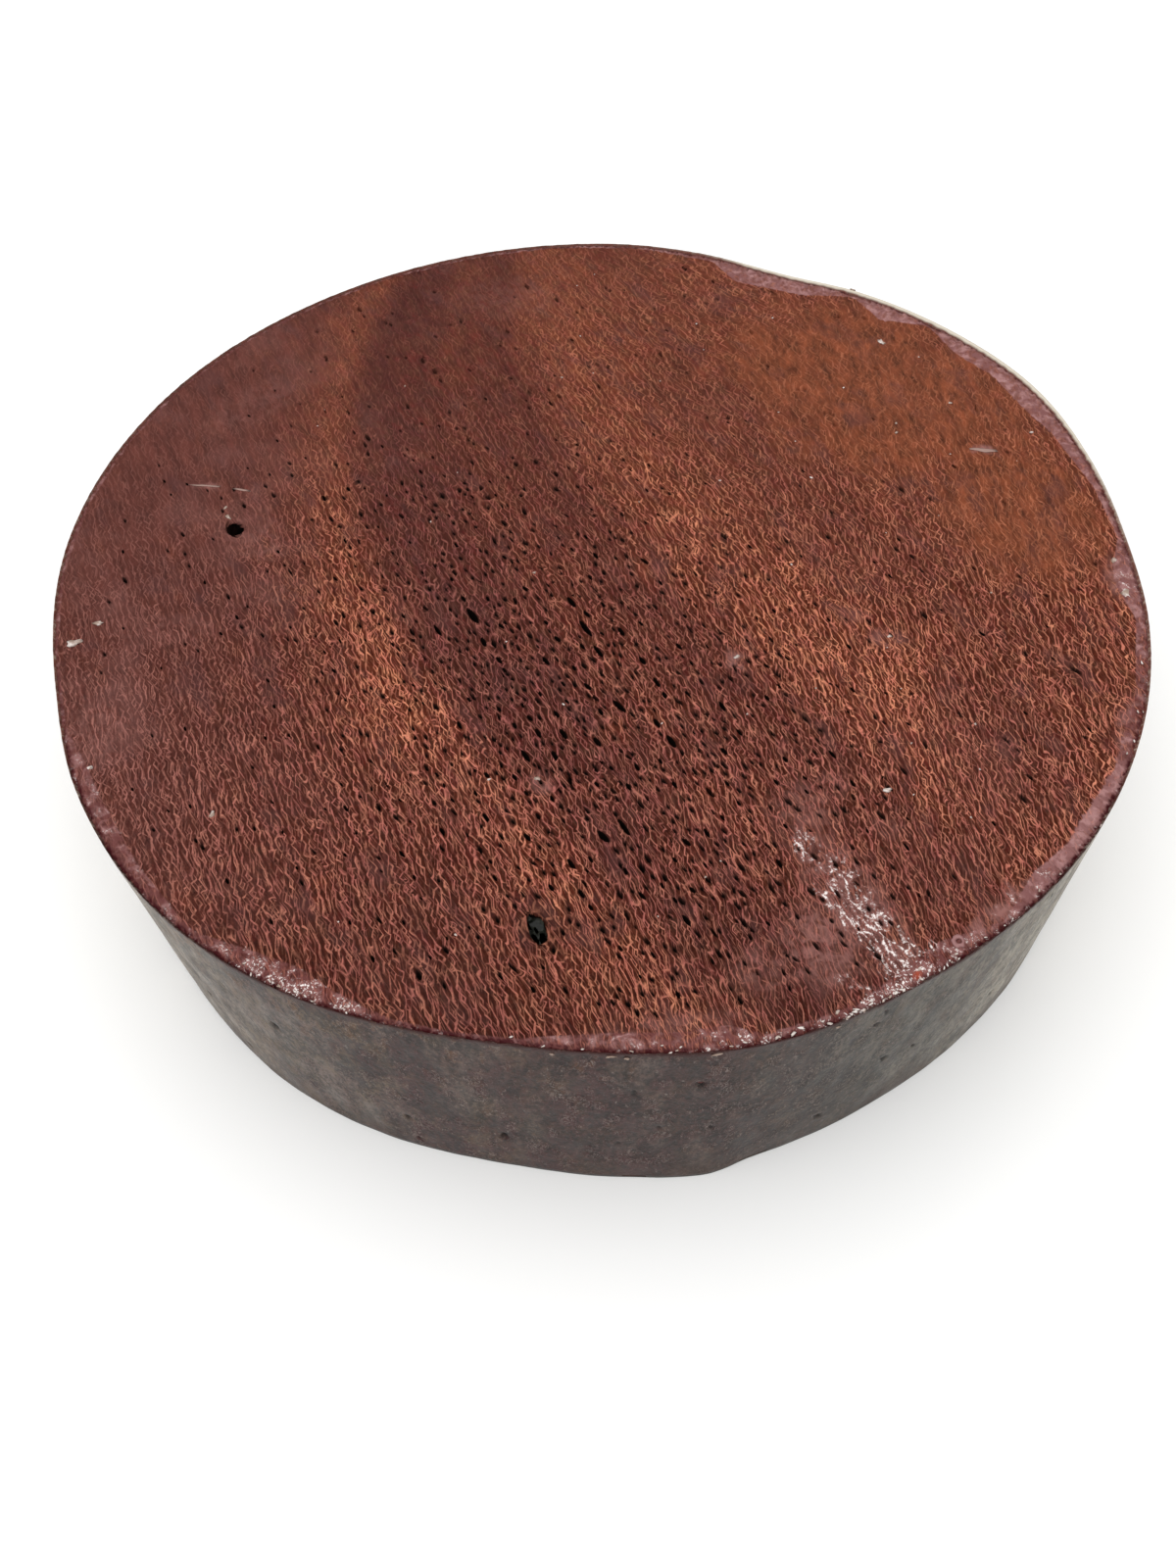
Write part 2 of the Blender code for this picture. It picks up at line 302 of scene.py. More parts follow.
LAP_EDGE = [
    (angle, polar(angle, rim_radius(angle, THICKNESS) - inset * MILLIMETRE))
    for angle, inset in lap_corners()
]


def lap_radius(angle):
    """The lap edge's distance from the compass point, along the chord from corner to corner."""
    behind = max((i for i, (a, _) in enumerate(LAP_EDGE) if a <= angle), default=len(LAP_EDGE) - 1)
    start, end = LAP_EDGE[behind][1], LAP_EDGE[(behind + 1) % len(LAP_EDGE)][1]
    ray = polar(angle, 1)
    chord = end - start
    return (start.x * chord.y - start.y * chord.x) / (ray.x * chord.y - ray.y * chord.x)


def uneven_lip(angle):
    """The width of the pale lip, with the unevenness of dipped wax."""
    width = on_ring(WAX_LIP, angle) + LIP_UNEVENNESS * noise.noise(polar(angle, 85))
    return max(width, THINNEST_LIP) * MILLIMETRE


lap_edge = looked_up(lambda angle: lap_radius(angle % 360))
top_edge = looked_up(lambda angle: rim_radius(angle, THICKNESS))
foot_edge = looked_up(lambda angle: rim_radius(angle, 0))
lip_width = looked_up(uneven_lip)
lap_shine = looked_up(lambda angle: on_ring(LAP_SHINE, angle))
rim_wax = looked_up(lambda angle: on_ring(RIM_WAX_AND_SHEEN, angle))
blush = looked_up(lambda angle: on_ring(BLUSH, angle))


def wall_radius(angle, height):
    """The same as the rim's radius, but quick."""
    share = height / THICKNESS
    return top_edge(angle) * share + foot_edge(angle) * (1 - share)


def under_wax(point):
    """How far a point of the top face lies inside the wax lap, and below 0 on the bare wood."""
    return point.length - lap_edge(angle_of(point))


def pore_share(x, y):
    """How crowded the pores are at a point of a face: most in the front middle, few at the sides."""
    across = (x + 0.004) / 0.044
    along = (y + 0.036) / 0.052
    return 0.05 + 0.95 * math.exp(-(across**2) - along**2)


def belt_share(x, y):
    """How close a point lies to the belt where the pores stay open, which leans with the grain."""
    across = (x + 0.001 + 0.35 * (y + 0.040)) / 0.026
    along = (y + 0.040) / 0.045
    return math.exp(-(across**2) - along**2)


def pore_row(start, y):
    """Where a row of pores lies at y, for the row that crosses y = 0 at start."""
    return start - 0.44 * y + 0.7 * y * y


def clear_of(pores, x, y, reach):
    """Whether a pore here stays clear of the others and of the knot holes."""
    holes = [(hx, hy, 2 * radius) for (hx, hy), radius, *_ in KNOT_HOLES]
    return all(math.hypot(x - px, y - py) > reach + other + PORE_GAP for px, py, other in pores + holes)


def scattered_pores(draw, wanted):
    """(x, y, length, width, lean) of pores along their rows, until as many as wanted are placed."""
    taken, pores = [], []
    rows = int(2 * PORE_FIELD_EDGE / PORE_ROW_SPACING)
    while len(pores) < wanted:
        start = (draw.randrange(-rows, rows + 1) + draw.gauss(0, 0.08)) * PORE_ROW_SPACING
        step = draw.randrange(int(-PORE_FIELD_EDGE / PORE_STEP), int(PORE_FIELD_EDGE / PORE_STEP) + 1)
        y = (step + draw.uniform(-0.4, 0.4)) * PORE_STEP
        x = pore_row(start, y)
        length = min(SHORTEST_PORE + draw.expovariate(1 / 0.00055), LONGEST_PORE)
        width = 0.43 * length**0.62 * MILLIMETRE**0.38 * draw.uniform(0.95, 1.25)
        if math.hypot(x, y) > PORE_FIELD_EDGE or draw.random() > pore_share(x, y):
            continue
        if clear_of(taken, x, y, length / 2):
            taken.append((x, y, length / 2))
            pores.append((x, y, length, width, PORE_LEAN + draw.gauss(0, 6)))
    return pores


def fine_pores(draw, wanted, taken):
    """Smaller pores between the others, down to specks, on rows of their own."""
    pores = []
    tries = 60 * wanted
    while len(pores) < wanted and tries:
        tries -= 1
        y = draw.uniform(-PORE_FIELD_EDGE, PORE_FIELD_EDGE)
        row = round(draw.uniform(-26, 26))
        x = pore_row(row * PORE_ROW_SPACING + draw.gauss(0, 0.0008), y)
        length = 0.0008 + min(draw.expovariate(1 / 0.0004), 0.0012)
        width = 0.46 * length**0.62 * MILLIMETRE**0.38 * draw.uniform(0.8, 1.3)
        if math.hypot(x, y) > PORE_FIELD_EDGE or draw.random() > 0.03 + 0.97 * belt_share(x, y):
            continue
        reach = 0.5 * MILLIMETRE
        if all(math.hypot(x - px, y - py) > reach + other for px, py, other in taken):
            taken.append((x, y, 0.5 * length))
            pores.append((x, y, length, width, PORE_LEAN + draw.gauss(0, 8)))
    return pores


def reckoned(operation, swapped=False):
    """A method that hands a term, and what stands beside it, to a Math node."""

    def reckon(term, *others):
        return term.finish.math(operation, *((*others, term) if swapped else (term, *others)))

    return reckon


class Term:
    """A value or colour from a node, which is reckoned with like a number."""

    __add__ = reckoned("ADD")
    __sub__ = reckoned("SUBTRACT")
    __rsub__ = reckoned("SUBTRACT", swapped=True)
    __mul__ = reckoned("MULTIPLY")
    __truediv__ = reckoned("DIVIDE")
    __pow__ = reckoned("POWER")
    __abs__ = reckoned("ABSOLUTE")
    at_least = reckoned("MAXIMUM")
    at_most = reckoned("MINIMUM")
    sine = reckoned("SINE")
    zigzag = reckoned("PINGPONG")

    def __init__(self, finish, socket):
        self.finish = finish
        self.socket = socket

    def clamped(self):
        """The same Math node, kept from 0 to 1."""
        self.socket.node.use_clamp = True
        return self

    def towards(self, other, share):
        return self + (other - self) * share

    def between(self, low, high, start=0.0, end=1.0):
        """The value eased from low to high, and turned to start to end."""
        inputs = enumerate((self, low, high, start, end))
        return self.finish.term("MapRange", inputs, interpolation_type="SMOOTHSTEP")

    def scaled(self, factor):
        """The colour, lighter or darker by a factor."""
        return self.finish.term("VectorMath", {0: self, "Scale": factor}, operation="SCALE")


class Finish:
    """A procedural material that is built up node by node."""

    def __init__(self, name):
        self.material = bpy.data.materials.new(name)
        self.material.use_nodes = True
        self.tree = self.material.node_tree
        self.shader = self.tree.nodes["Principled BSDF"]

    def add(self, kind, inputs=(), **settings):
        node = self.tree.nodes.new("ShaderNode" + kind)
        for name, value in settings.items():
            setattr(node, name, value)
        for socket, value in dict(inputs).items():
            self.feed(node.inputs[socket], value)
        return node

    def feed(self, socket, value):
        if isinstance(value, Term):
            self.tree.links.new(value.socket, socket)
        else:
            socket.default_value = value

    def term(self, kind, inputs=(), output=0, **settings):
        return Term(self, self.add(kind, inputs, **settings).outputs[output])

    def math(self, operation, *values):
        return self.term("Math", enumerate(values), operation=operation)

    def mix(self, share, first, second, blend="MIX"):
        inputs = {"Factor": share, "A": first, "B": second}
        return self.term("Mix", inputs, "Result", data_type="RGBA", blend_type=blend)

    def noise(self, place, scale, detail=2.0, roughness=0.5, distortion=0.0):
        inputs = {"Vector": place, "Scale": scale, "Detail": detail, "Roughness": roughness}
        return self.term("TexNoise", {**inputs, "Distortion": distortion}, "Fac")

    def drifts(self, place, scale, detail=1.0, roughness=0.5):
        """Three noises that know nothing of each other, each about 0."""
        inputs = {"Vector": place, "Scale": scale, "Detail": detail, "Roughness": roughness}
        parts = self.add("SeparateColor", {"Color": self.term("TexNoise", inputs, "Color")})
        return [Term(self, part) - 0.5 for part in parts.outputs]

    def curve(self, share, stops):
        """A value that runs straight from stop to stop."""
        ramp = self.add("ValToRGB", {"Fac": share})
        elements = ramp.color_ramp.elements
        while len(elements) < len(stops):
            elements.new(0.5)
        for element, (where, tone) in zip(elements, stops):
            element.position = where
            element.color = (tone, tone, tone, 1)
        return Term(self, ramp.outputs[0]) * 1.0

    def attribute(self, name):
        return self.term("Attribute", output="Fac", attribute_name=name)

    def place_in_millimetres(self):
        """Object coordinates in millimetres from the compass point."""
        location = (MIDDLE.x * 1000, MIDDLE.y * 1000, 0)
        inputs = {"Vector": self.term("TexCoord", output="Object"), "Location": location}
        return self.term("Mapping", {**inputs, "Scale": (1000, 1000, 1000)})

    def split(self, place):
        return [Term(self, part) for part in self.add("SeparateXYZ", {"Vector": place}).outputs]

    def join(self, x, y, z=0.0):
        return self.term("CombineXYZ", enumerate((x, y, z)))

    def blob(self, x, y, centre, reach, turn=0.0):
        """1 in the middle of an ellipse on the face, eased to 0 at its edge."""
        cos, sin = math.cos(math.radians(turn)), math.sin(math.radians(turn))
        dx, dy = x - centre[0], y - centre[1]
        along = dx * (cos / reach[0]) + dy * (sin / reach[0])
        over = dy * (cos / reach[1]) - dx * (sin / reach[1])
        return (along**2.0 + over**2.0).between(0.0, 1.0, 1.0, 0.0)

    def bump(self, height, strength, distance):
        node = self.term("Bump", {"Strength": strength, "Distance": distance, "Height": height})
        self.feed(self.shader.inputs["Normal"], node)

    def surfaced(self, colour, roughness, specular):
        """The material, once its colour and gloss are fed to the shader."""
        inputs = {"Base Color": colour, "Roughness": roughness, "Specular IOR Level": specular}
        for name, value in inputs.items():
            self.feed(self.shader.inputs[name], value)
        return self.material


def srgb(red, green, blue):
    """A colour as it looks on screen, 0 to 255, as the shader's linear values."""
    return (*[((c / 255 + 0.055) / 1.055) ** 2.4 if c > 10 else c / 3294 for c in (red, green, blue)], 1.0)


def finished(name, bm, material):
    """The mesh as a piece of the object, at its place in the row frame."""
    if not bm.faces:
        raise RuntimeError(f"{name} has no faces")
    bmesh.ops.translate(bm, vec=-MIDDLE.xy.to_3d(), verts=bm.verts)
    mesh = bpy.data.meshes.new(name)
    bm.to_mesh(mesh)
    bm.free()
    mesh.shade_smooth()
    mesh.materials.append(material)
    piece = bpy.data.objects.new(name, mesh)
    bpy.context.scene.collection.objects.link(piece)
    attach(piece, BODY)
    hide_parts(NODE)


# The straight sheet of cells, before the grain carries it over the round
SHEET_WIDTH = 0.310
SHEET_LENGTH = 0.216


def cell_sheet(sizes, draw):
    """A flat sheet of six-sided cells, drawn out along +Y: the dual of a triangle grid."""
    columns = round(SHEET_WIDTH / sizes.cell_width)
    rows = round(SHEET_LENGTH / sizes.cell_length)
    bm = bmesh.new()
    half = Matrix.Diagonal((columns * sizes.cell_width / 2, rows * sizes.cell_length / 2, 1, 1))
    bmesh.ops.create_grid(bm, x_segments=columns, y_segments=rows, size=1, matrix=half)
    for vert in bm.verts:
        if round(vert.co.y / sizes.cell_length + rows / 2) % 2:
            vert.co.x += sizes.cell_width / 2
    bmesh.ops.triangulate(bm, faces=bm.faces, quad_method="SHORT_EDGE")
    far = [v for v in bm.verts if math.hypot(*flow(v.co.x, v.co.y)) > RADIUS + 4 * sizes.cell_length]
    bmesh.ops.delete(bm, geom=far, context="VERTS")
    corners = list(bm.verts)
    border = [v for v in corners if v.is_boundary]
    sides = [e for e in bm.edges if not e.is_boundary]
    bmesh.ops.poke(bm, faces=bm.faces)
    bmesh.ops.rotate_edges(bm, edges=sides, use_ccw=False)
    bmesh.ops.delete(bm, geom=border, context="VERTS")
    bmesh.ops.dissolve_verts(bm, verts=[v for v in corners if v.is_valid])
    drawn_out = {}
    for vert in bm.verts:
        for edge in vert.link_edges:
            step = edge.other_vert(vert).co - vert.co
            if abs(step.x) < 0.2 * sizes.cell_width:
                drawn_out[vert] = math.copysign(sizes.point_share * sizes.cell_length, step.y)
    for vert, step in drawn_out.items():
        vert.co.y += step
    merged = set()
    doomed = []
    for edge in bm.edges:
        run = edge.verts[1].co - edge.verts[0].co
        flat = run.x * run.y < 0 and abs(run.x) > 0.2 * sizes.cell_width
        if len(edge.link_faces) == 2 and draw.random() < sizes.open_share * (1.0 if flat else 0.2):
            if not merged.intersection(edge.link_faces):
                merged.update(edge.link_faces)
                doomed.append(edge)
    bmesh.ops.dissolve_edges(bm, edges=doomed)
    return bm


def flow(p, q):
    """Where the grain carries a point of the straight cell sheet."""
    return p + 1.2 * p * p - 0.25 * q + 1.75 * q * q + p * (1.0 * q + 15.0 * q * q), q


def carry_along_grain(bm, sizes, draw, seed):
    """Leans the sheet with the grain, and lets its strands wander."""
    noise.seed_set(seed)
    for vert in bm.verts:
        p, q = vert.co.x, vert.co.y
        stagger = Vector((p / sizes.cell_width * 0.75, q / sizes.cell_length * 0.35, seed + 8))
        spread = Vector((p / sizes.cell_width * 0.42, q / sizes.cell_length * 0.45, seed + 3))
        p += 0.6 * sizes.cell_width * noise.noise(spread)
        x, y = flow(p, q + 1.1 * sizes.cell_length * noise.noise(stagger))
        broad = noise.noise_vector(Vector((x * 45, y * 26, seed)))
        close = noise.noise_vector(Vector((x * 260, y * 190, seed + 5)))
        tight = noise.noise_vector(Vector((x * 560, y * 330, seed + 6)))
        wander = sizes.wander
        swayed = 1.3 * broad.x + 0.62 * close.x + 0.40 * tight.x
        x += wander * swayed + draw.gauss(0, 0.08 * sizes.cell_width)
        y += wander * (1.6 * broad.y + 0.60 * close.y) + draw.gauss(0, 0.10 * sizes.cell_length)
        vert.co = (x, y, 0)


class Pit:
    """A pore or knot hole in a face, in its own stretched and turned measure."""

    def __init__(self, x, y, length, width, lean, depth, shares=None, settled=True):
        self.centre = Vector((x, y, 0))
        self.half = (length / 2, width / 2)
        self.turn = Matrix.Rotation(math.radians(lean), 3, "Z")
        self.back = self.turn.transposed()
        self.depth = depth
        self.shares = shares
        self.settled = settled

    def measure(self, point, spare=0.0):
        """A point in the pit's measure, where its outline is the unit circle."""
        local = self.back @ (point - self.centre)
        return local.x / (self.half[0] + spare), local.y / (self.half[1] + spare)

    def point(self, over, along, spare=0.0):
        local = Vector((over * (self.half[0] + spare), along * (self.half[1] + spare), 0))
        return self.centre + self.turn @ local

    def edge(self, turn, share=1.0, spare=0.0):
        """A point of the outline, at a turn in radians, drawn in to a share of its size."""
        if self.shares:
            place = turn / (2 * math.pi) * len(self.shares)
            step = math.floor(place)
            here, there = (self.shares[(step + k) % len(self.shares)] for k in (0, 1))
            share *= here + (there - here) * (place - step)
            around = Vector((2.5 * math.cos(turn), 2.5 * math.sin(turn), 900 * self.centre.x))
            share *= 1 + KNOT_RAGGEDNESS * noise.noise(around)
            return self.point(math.cos(turn) * share, math.sin(turn) * share, spare)
        across = math.copysign(abs(math.sin(turn)) ** 1.35, math.sin(turn))
        return self.point(math.cos(turn) * share, across * share, spare)


def part_strands(bm, pits, spare):
    """Moves the strands aside, so that they run round each pit."""
    tree = KDTree(len(bm.verts))
    verts = list(bm.verts)
    for index, vert in enumerate(verts):
        tree.insert(vert.co, index)
    tree.balance()
    # In sizes of the pit
    reach = 4
    for pit in pits:
        for _, index, _ in tree.find_range(pit.centre, reach * (pit.half[0] + spare) + MILLIMETRE):
            vert = verts[index]
            over, along = pit.measure(vert.co, spare)
            apart = max(math.hypot(over, along), 1e-4)
            if apart < reach:
                fade = (1 - (apart / reach) ** 2) ** 2
                grown = math.sqrt(apart * apart + fade) / apart
                vert.co = pit.point(over * grown, along * grown, spare)
    for pit in pits:
        for _, index, _ in tree.find_range(pit.centre, 2 * pit.half[0] + 2 * MILLIMETRE):
            vert = verts[index]
            over, along = pit.measure(vert.co, 0.5 * spare)
            apart = max(math.hypot(over, along), 1e-4)
            if apart < 1.02:
                vert.co = pit.point(over / apart * 1.02, along / apart * 1.02, 0.5 * spare)


def holds(face, point):
    """Whether a flat cell surrounds a point."""
    inside = False
    for loop in face.loops:
        a, b = loop.vert.co, loop.link_loop_next.vert.co
        if (a.y > point.y) != (b.y > point.y):
            inside ^= point.x < (b.x - a.x) * (point.y - a.y) / (b.y - a.y) + a.x
    return inside


def clear_strands(bm, pits):
    """Takes out the strands that would cross a pit."""
    edges = list(bm.edges)
    tree = KDTree(len(edges))
    for index, edge in enumerate(edges):
        tree.insert((edge.verts[0].co + edge.verts[1].co) / 2, index)
    tree.balance()
    crossing = set()
    for pit in pits:
        for _, index, _ in tree.find_range(pit.centre, 1.2 * pit.half[0] + 1.2 * MILLIMETRE):
            start, end = (Vector(pit.measure(v.co, 0)) for v in edges[index].verts)
            run = end - start
            share = min(max(-start.dot(run) / max(run.length_squared, 1e-9), 0), 1)
            if (start + run * share).length < 0.8:
                crossing.add(edges[index])
    bmesh.ops.dissolve_edges(bm, edges=list(crossing))


def cells_of(bm, pits):
    """The cell that each pit opens in; a pit whose cell is taken is left out."""
    faces = list(bm.faces)
    tree = KDTree(len(faces))
    for index, face in enumerate(faces):
        tree.insert(face.calc_center_median(), index)
    tree.balance()
    found = {}
    for pit in pits:
        for _, index, _ in tree.find_n(pit.centre, 9 if pit.settled else 2):
            face = faces[index]
            if face in found or len(face.verts) < 5 or (pit.settled and not holds(face, pit.centre)):
                continue
            if not pit.settled:
                pit.centre = face.calc_center_median()
                fit = min(1.0, 0.26 * math.sqrt(face.calc_area()) / pit.half[1])
                pit.half = (pit.half[0] * fit, pit.half[1] * fit)
            found[face] = pit
            break
    return found


def to_outline(vert, edge_radius):
    angle = angle_of(vert.co)
    vert.co = polar(angle, edge_radius(angle))


def trim_to(bm, edge_radius):
    """Cuts the sheet to the round's outline, and draws its outer cells out to it."""
    outside = []
    for face in bm.faces:
        middle = face.calc_center_median()
        if middle.length > edge_radius(angle_of(middle)) - 0.2 * MILLIMETRE:
            outside.append(face)
    bmesh.ops.delete(bm, geom=outside, context="FACES")
    for vert in bm.verts:
        if vert.is_boundary or vert.co.length > edge_radius(angle_of(vert.co)) - 0.1 * MILLIMETRE:
            to_outline(vert, edge_radius)


def folds(corners, points):
    """Whether a wall between a cell's corners and their floor points would fold over another."""
    for k, corner in enumerate(corners):
        before, point = corners[k - 1], points[k]
        if (corner - before).cross(point - corner).z < 1e-9:
            return True
        if points[k - 1] != point and (corner - before).cross(points[k - 1] - before).z < 1e-9:
            return True
    return False


def trough_of(face):
    """The floor point that each corner of a cell slopes down to, and whether the cell lies open.

    A long cell has three floor points on a line, others have two, and a crooked one has one.
    """
    corners = [loop.vert.co for loop in face.loops]
    count = len(corners)
    top = max(range(count), key=lambda i: corners[i].y)
    low = min(range(count), key=lambda i: corners[i].y)
    start, run = corners[top], corners[low] - corners[top]
    shares = [0.0] * count
    down = [(top + k) % count for k in range((low - top) % count + 1)]
    back = [(top - k) % count for k in range((top - low) % count + 1)]
    for side in (down, back):
        reached = 0.0
        for i in side:
            reached = max(reached, (corners[i] - start).dot(run) / max(run.length_squared, 1e-12))
            shares[i] = reached
    for stops in ((0.13, 0.5, 0.87), (0.20, 0.80), (0.35, 0.65)):
        snapped = [min(stops, key=lambda stop: abs(stop - share)) for share in shares]
        points = [start + run * share for share in snapped]
        whole = all(len({snapped[i] for i in side}) == len(stops) for side in (down, back))
        if whole and count >= 2 * len(stops) + 2 and not folds(corners, points):
            return points, True
    middle = sum(corners, Vector()) / count
    return [middle] * count, not folds(corners, [middle] * count)


def unfold(bm, settle, turns=12):
    """Eases crowded strands apart, so that no cell is folded."""
    suspects = list(bm.faces)
    for _ in range(turns):
        crowded = {vert for face in suspects if not trough_of(face)[1] for vert in face.verts}
        if not crowded:
            break
        bmesh.ops.smooth_vert(bm, verts=list(crowded), factor=0.6, use_axis_x=True, use_axis_y=True)
        for vert in crowded:
            settle(vert)
        suspects = list({face for vert in crowded for face in vert.link_faces})


# Rings of a pit: share of its outline, spare width in shares of a strand, drop, strand, hollow (how much
# painted shade it gets)
COARSE_RINGS = (
    (1.0, 0.30, 0.0, 0.35, 0.0), (1.0, 0.0, 0.08, 0.0, 1.0),
    (0.80, 0.0, 0.35, 0.0, 1.0), (0.35, 0.0, 1.0, 0.0, 1.0),
)
FINE_RINGS = ((1.0, 0.0, 0.0, 0.1, 0.7), (0.6, 0.0, 1.0, 0.0, 1.0))


def sink_cells(bm, sizes, pits, layers, draw):
    """Sinks each cell between its strands, to a trough that is deepest in the middle.

    Strands get a strength of 0.45 to 1, and the floors 0 to -0.5, darkest at -0.5.
    """
    strand = layers[0]
    for vert in bm.verts:
        vert[strand] = 1.0 - 0.55 * draw.random() ** 1.3
        vert.co.z = 0.25 * sizes.strand_height * noise.noise(vert.co * 420)
    plain = [face for face in bm.faces if face not in pits]
    bmesh.ops.inset_individual(bm, faces=plain, thickness=0, depth=0, use_even_offset=False)
    floor = []
    for face in plain:
        sunk = sizes.strand_height * (1 + 0.6 * noise.noise(face.verts[0].co * 300))
        floor_tone = -0.5 * draw.random()
        for loop, point in zip(list(face.loops), trough_of(face)[0]):
            loop.vert.co = point
            loop.vert.co.z = -sunk
            loop.vert[strand] = floor_tone
            floor.append(loop.vert)
    bmesh.ops.remove_doubles(bm, verts=floor, dist=0.001 * MILLIMETRE)
    for pit in pits.values():
        pit.rings = COARSE_RINGS if pit.settled else FINE_RINGS
    for step in range(max(len(COARSE_RINGS), len(FINE_RINGS))):
        cut = {face: pit for face, pit in pits.items() if step < len(pit.rings)}
        bmesh.ops.inset_individual(bm, faces=list(cut), thickness=0, depth=0, use_even_offset=False)
        for face, pit in cut.items():
            sink_ring(face, pit, pit.rings[step], sizes, layers)


def sink_ring(face, pit, ring, sizes, layers):
    """Places one ring of a pit, and keeps its corners in step with the cell's own."""
    share, spare, drop, strand_value, hollow_value = ring
    strand, hollow = layers
    loops = list(face.loops)
    count = len(loops)
    tips = [pit.measure(loop.vert.co)[0] for loop in loops]
    first = tips.index(max(tips))
    for step in range(count):
        vert = loops[(first + step) % count].vert
        placed = pit.edge(2 * math.pi * step / count, share, spare * sizes.strand_width)
        vert.co = (placed.x, placed.y, -sizes.strand_height - pit.depth * drop)
        vert[strand] = strand_value
        vert[hollow] = hollow_value


def close_below(bm, radius_below, depth):
    """Gives the sheet a wall and a flat underside, out of sight inside the round."""
    rim = [e for e in bm.edges if e.is_boundary]
    lowered = bmesh.ops.extrude_edge_only(bm, edges=rim)["geom"]
    for vert in (g for g in lowered if isinstance(g, bmesh.types.BMVert)):
        angle = angle_of(vert.co)
        vert.co = polar(angle, radius_below(angle))
        vert.co.z = -depth
    bmesh.ops.contextual_create(bm, geom=[g for g in lowered if isinstance(g, bmesh.types.BMEdge)])


def lay_out_face(bm, hidden_below):
    """A bake map as seen from above, with the hidden wall and underside small in one corner."""
    layer = bm.loops.layers.uv.new("OFBake")
    for face in bm.faces:
        tucked = face.normal.z < 0.02 and min(v.co.z for v in face.verts) < hidden_below
        for loop in face.loops:
            x, y = loop.vert.co.x / (2.08 * RADIUS), loop.vert.co.y / (2.08 * RADIUS)
            if tucked:
                corner = 0.06 if loop.vert.co.z < hidden_below else 0.08
                loop[layer].uv = (corner * x * 2 + 0.084, corner * y * 2 + 0.084)
            else:
                loop[layer].uv = (x + 0.5, y + 0.5)


# No mark on the face reaches farther than this, in millimetres
FARTHEST_MARK = 20


def strongest(marks, point):
    """The strongest of some elliptical marks at a point of the face."""
    value = 0.0
    for x, y, along, across, turn, strength in marks:
        dx, dy = point.x / MILLIMETRE - x, point.y / MILLIMETRE - y
        if abs(dx) < FARTHEST_MARK and abs(dy) < FARTHEST_MARK:
            cos, sin = math.cos(math.radians(turn)), math.sin(math.radians(turn))
            apart = math.hypot((dx * cos + dy * sin) / along, (dy * cos - dx * sin) / across)
            value = max(value, strength * smooth_step(1.15, 0.35, apart))
    return value


def marks_on_top(point, waxed):
    """How hazy the wax on the top face is, and how strong its painted glints are."""
    shine = lap_shine(angle_of(point)) * smooth_step(-0.45, 0.1, waxed)
    return strongest(HAZES, point), max(strongest(PAINTED_GLINTS, point), 0.8 * shine)


def marks_on_base(point, waxed):
    """The base is neither hazy nor glossy."""
    return 0.0, 0.0


def value_layers(bm, names):
    """Values on the corners of a mesh, which its material reads by name."""
    for name in names:
        bm.verts.layers.float.new(name)
    return [bm.verts.layers.float[name] for name in names]


def netted_slab(sizes, seed, pits, edge_radius, radius_below, lap, marks_at):
    """A half slab of the round whose face, at z = 0, is a raised net with pits between its strands."""
    draw = random.Random(seed)
    bm = cell_sheet(sizes, draw)
    carry_along_grain(bm, sizes, draw, seed)
    unfold(bm, lambda vert: None)
    settled = [pit for pit in pits if pit.settled]
    part_strands(bm, settled, 0.5 * sizes.strand_width)
    clear_strands(bm, settled)
    bm.normal_update()
    opened = cells_of(bm, pits)
    trim_to(bm, edge_radius)
    opened = {face: pit for face, pit in opened.items() if face.is_valid}
    ragged = {e for face, pit in opened.items() if pit.shares for e in face.edges}
    bmesh.ops.subdivide_edges(bm, edges=list(ragged), cuts=1)
    round_pits = {vert: pit for face, pit in opened.items() if pit.settled for vert in face.verts}

    def settle(vert):
        if vert.is_boundary:
            to_outline(vert, edge_radius)
        elif vert in round_pits:
            ease_round(vert, round_pits[vert], 0.5 * sizes.strand_width)

    for vert in round_pits:
        settle(vert)
    unfold(bm, settle)
    names = ("strand", "hollow", "waxed", "rim", "haze", "gloss")
    strand, hollow, waxed, rim, haze, gloss = value_layers(bm, names)
    sink_cells(bm, sizes, opened, (strand, hollow), draw)
    for vert in bm.verts:
        flat = Vector((vert.co.x, vert.co.y, 0))
        inside = edge_radius(angle_of(flat)) - flat.length
        vert[rim] = min(inside / MILLIMETRE, FARTHEST_MARK)
        vert[waxed] = min(max(lap(flat) / MILLIMETRE, -2), 2)
        vert[haze], vert[gloss] = marks_at(flat, vert[waxed])
        if vert[hollow] < 0.5:
            raised = smooth_step(-0.3, 0.5, vert[waxed])
            vert.co.z = vert.co.z * (1 - 0.5 * raised) + WAX_FILM * raised
            vert.co.z -= WAX_FILM * 1.5 * smooth_step(0.7, 0.0, vert[rim])
        if marks_at is marks_on_top:
            vert[waxed] += blush(angle_of(flat))
    close_below(bm, radius_below, THICKNESS / 2)
    bmesh.ops.recalc_face_normals(bm, faces=bm.faces)
    lay_out_face(bm, -THICKNESS / 4)
    return bm


def ease_round(vert, pit, spare):
    """Draws a corner of a pit's cell towards the pit's outline."""
    over, along = pit.measure(vert.co, spare)
    apart = max(math.hypot(over, along), 1e-4)
    eased = max(1.0, min(apart, 1.0 + 0.5 * (apart - 1.0)))
    vert.co = pit.point(over * eased / apart, along * eased / apart, spare)


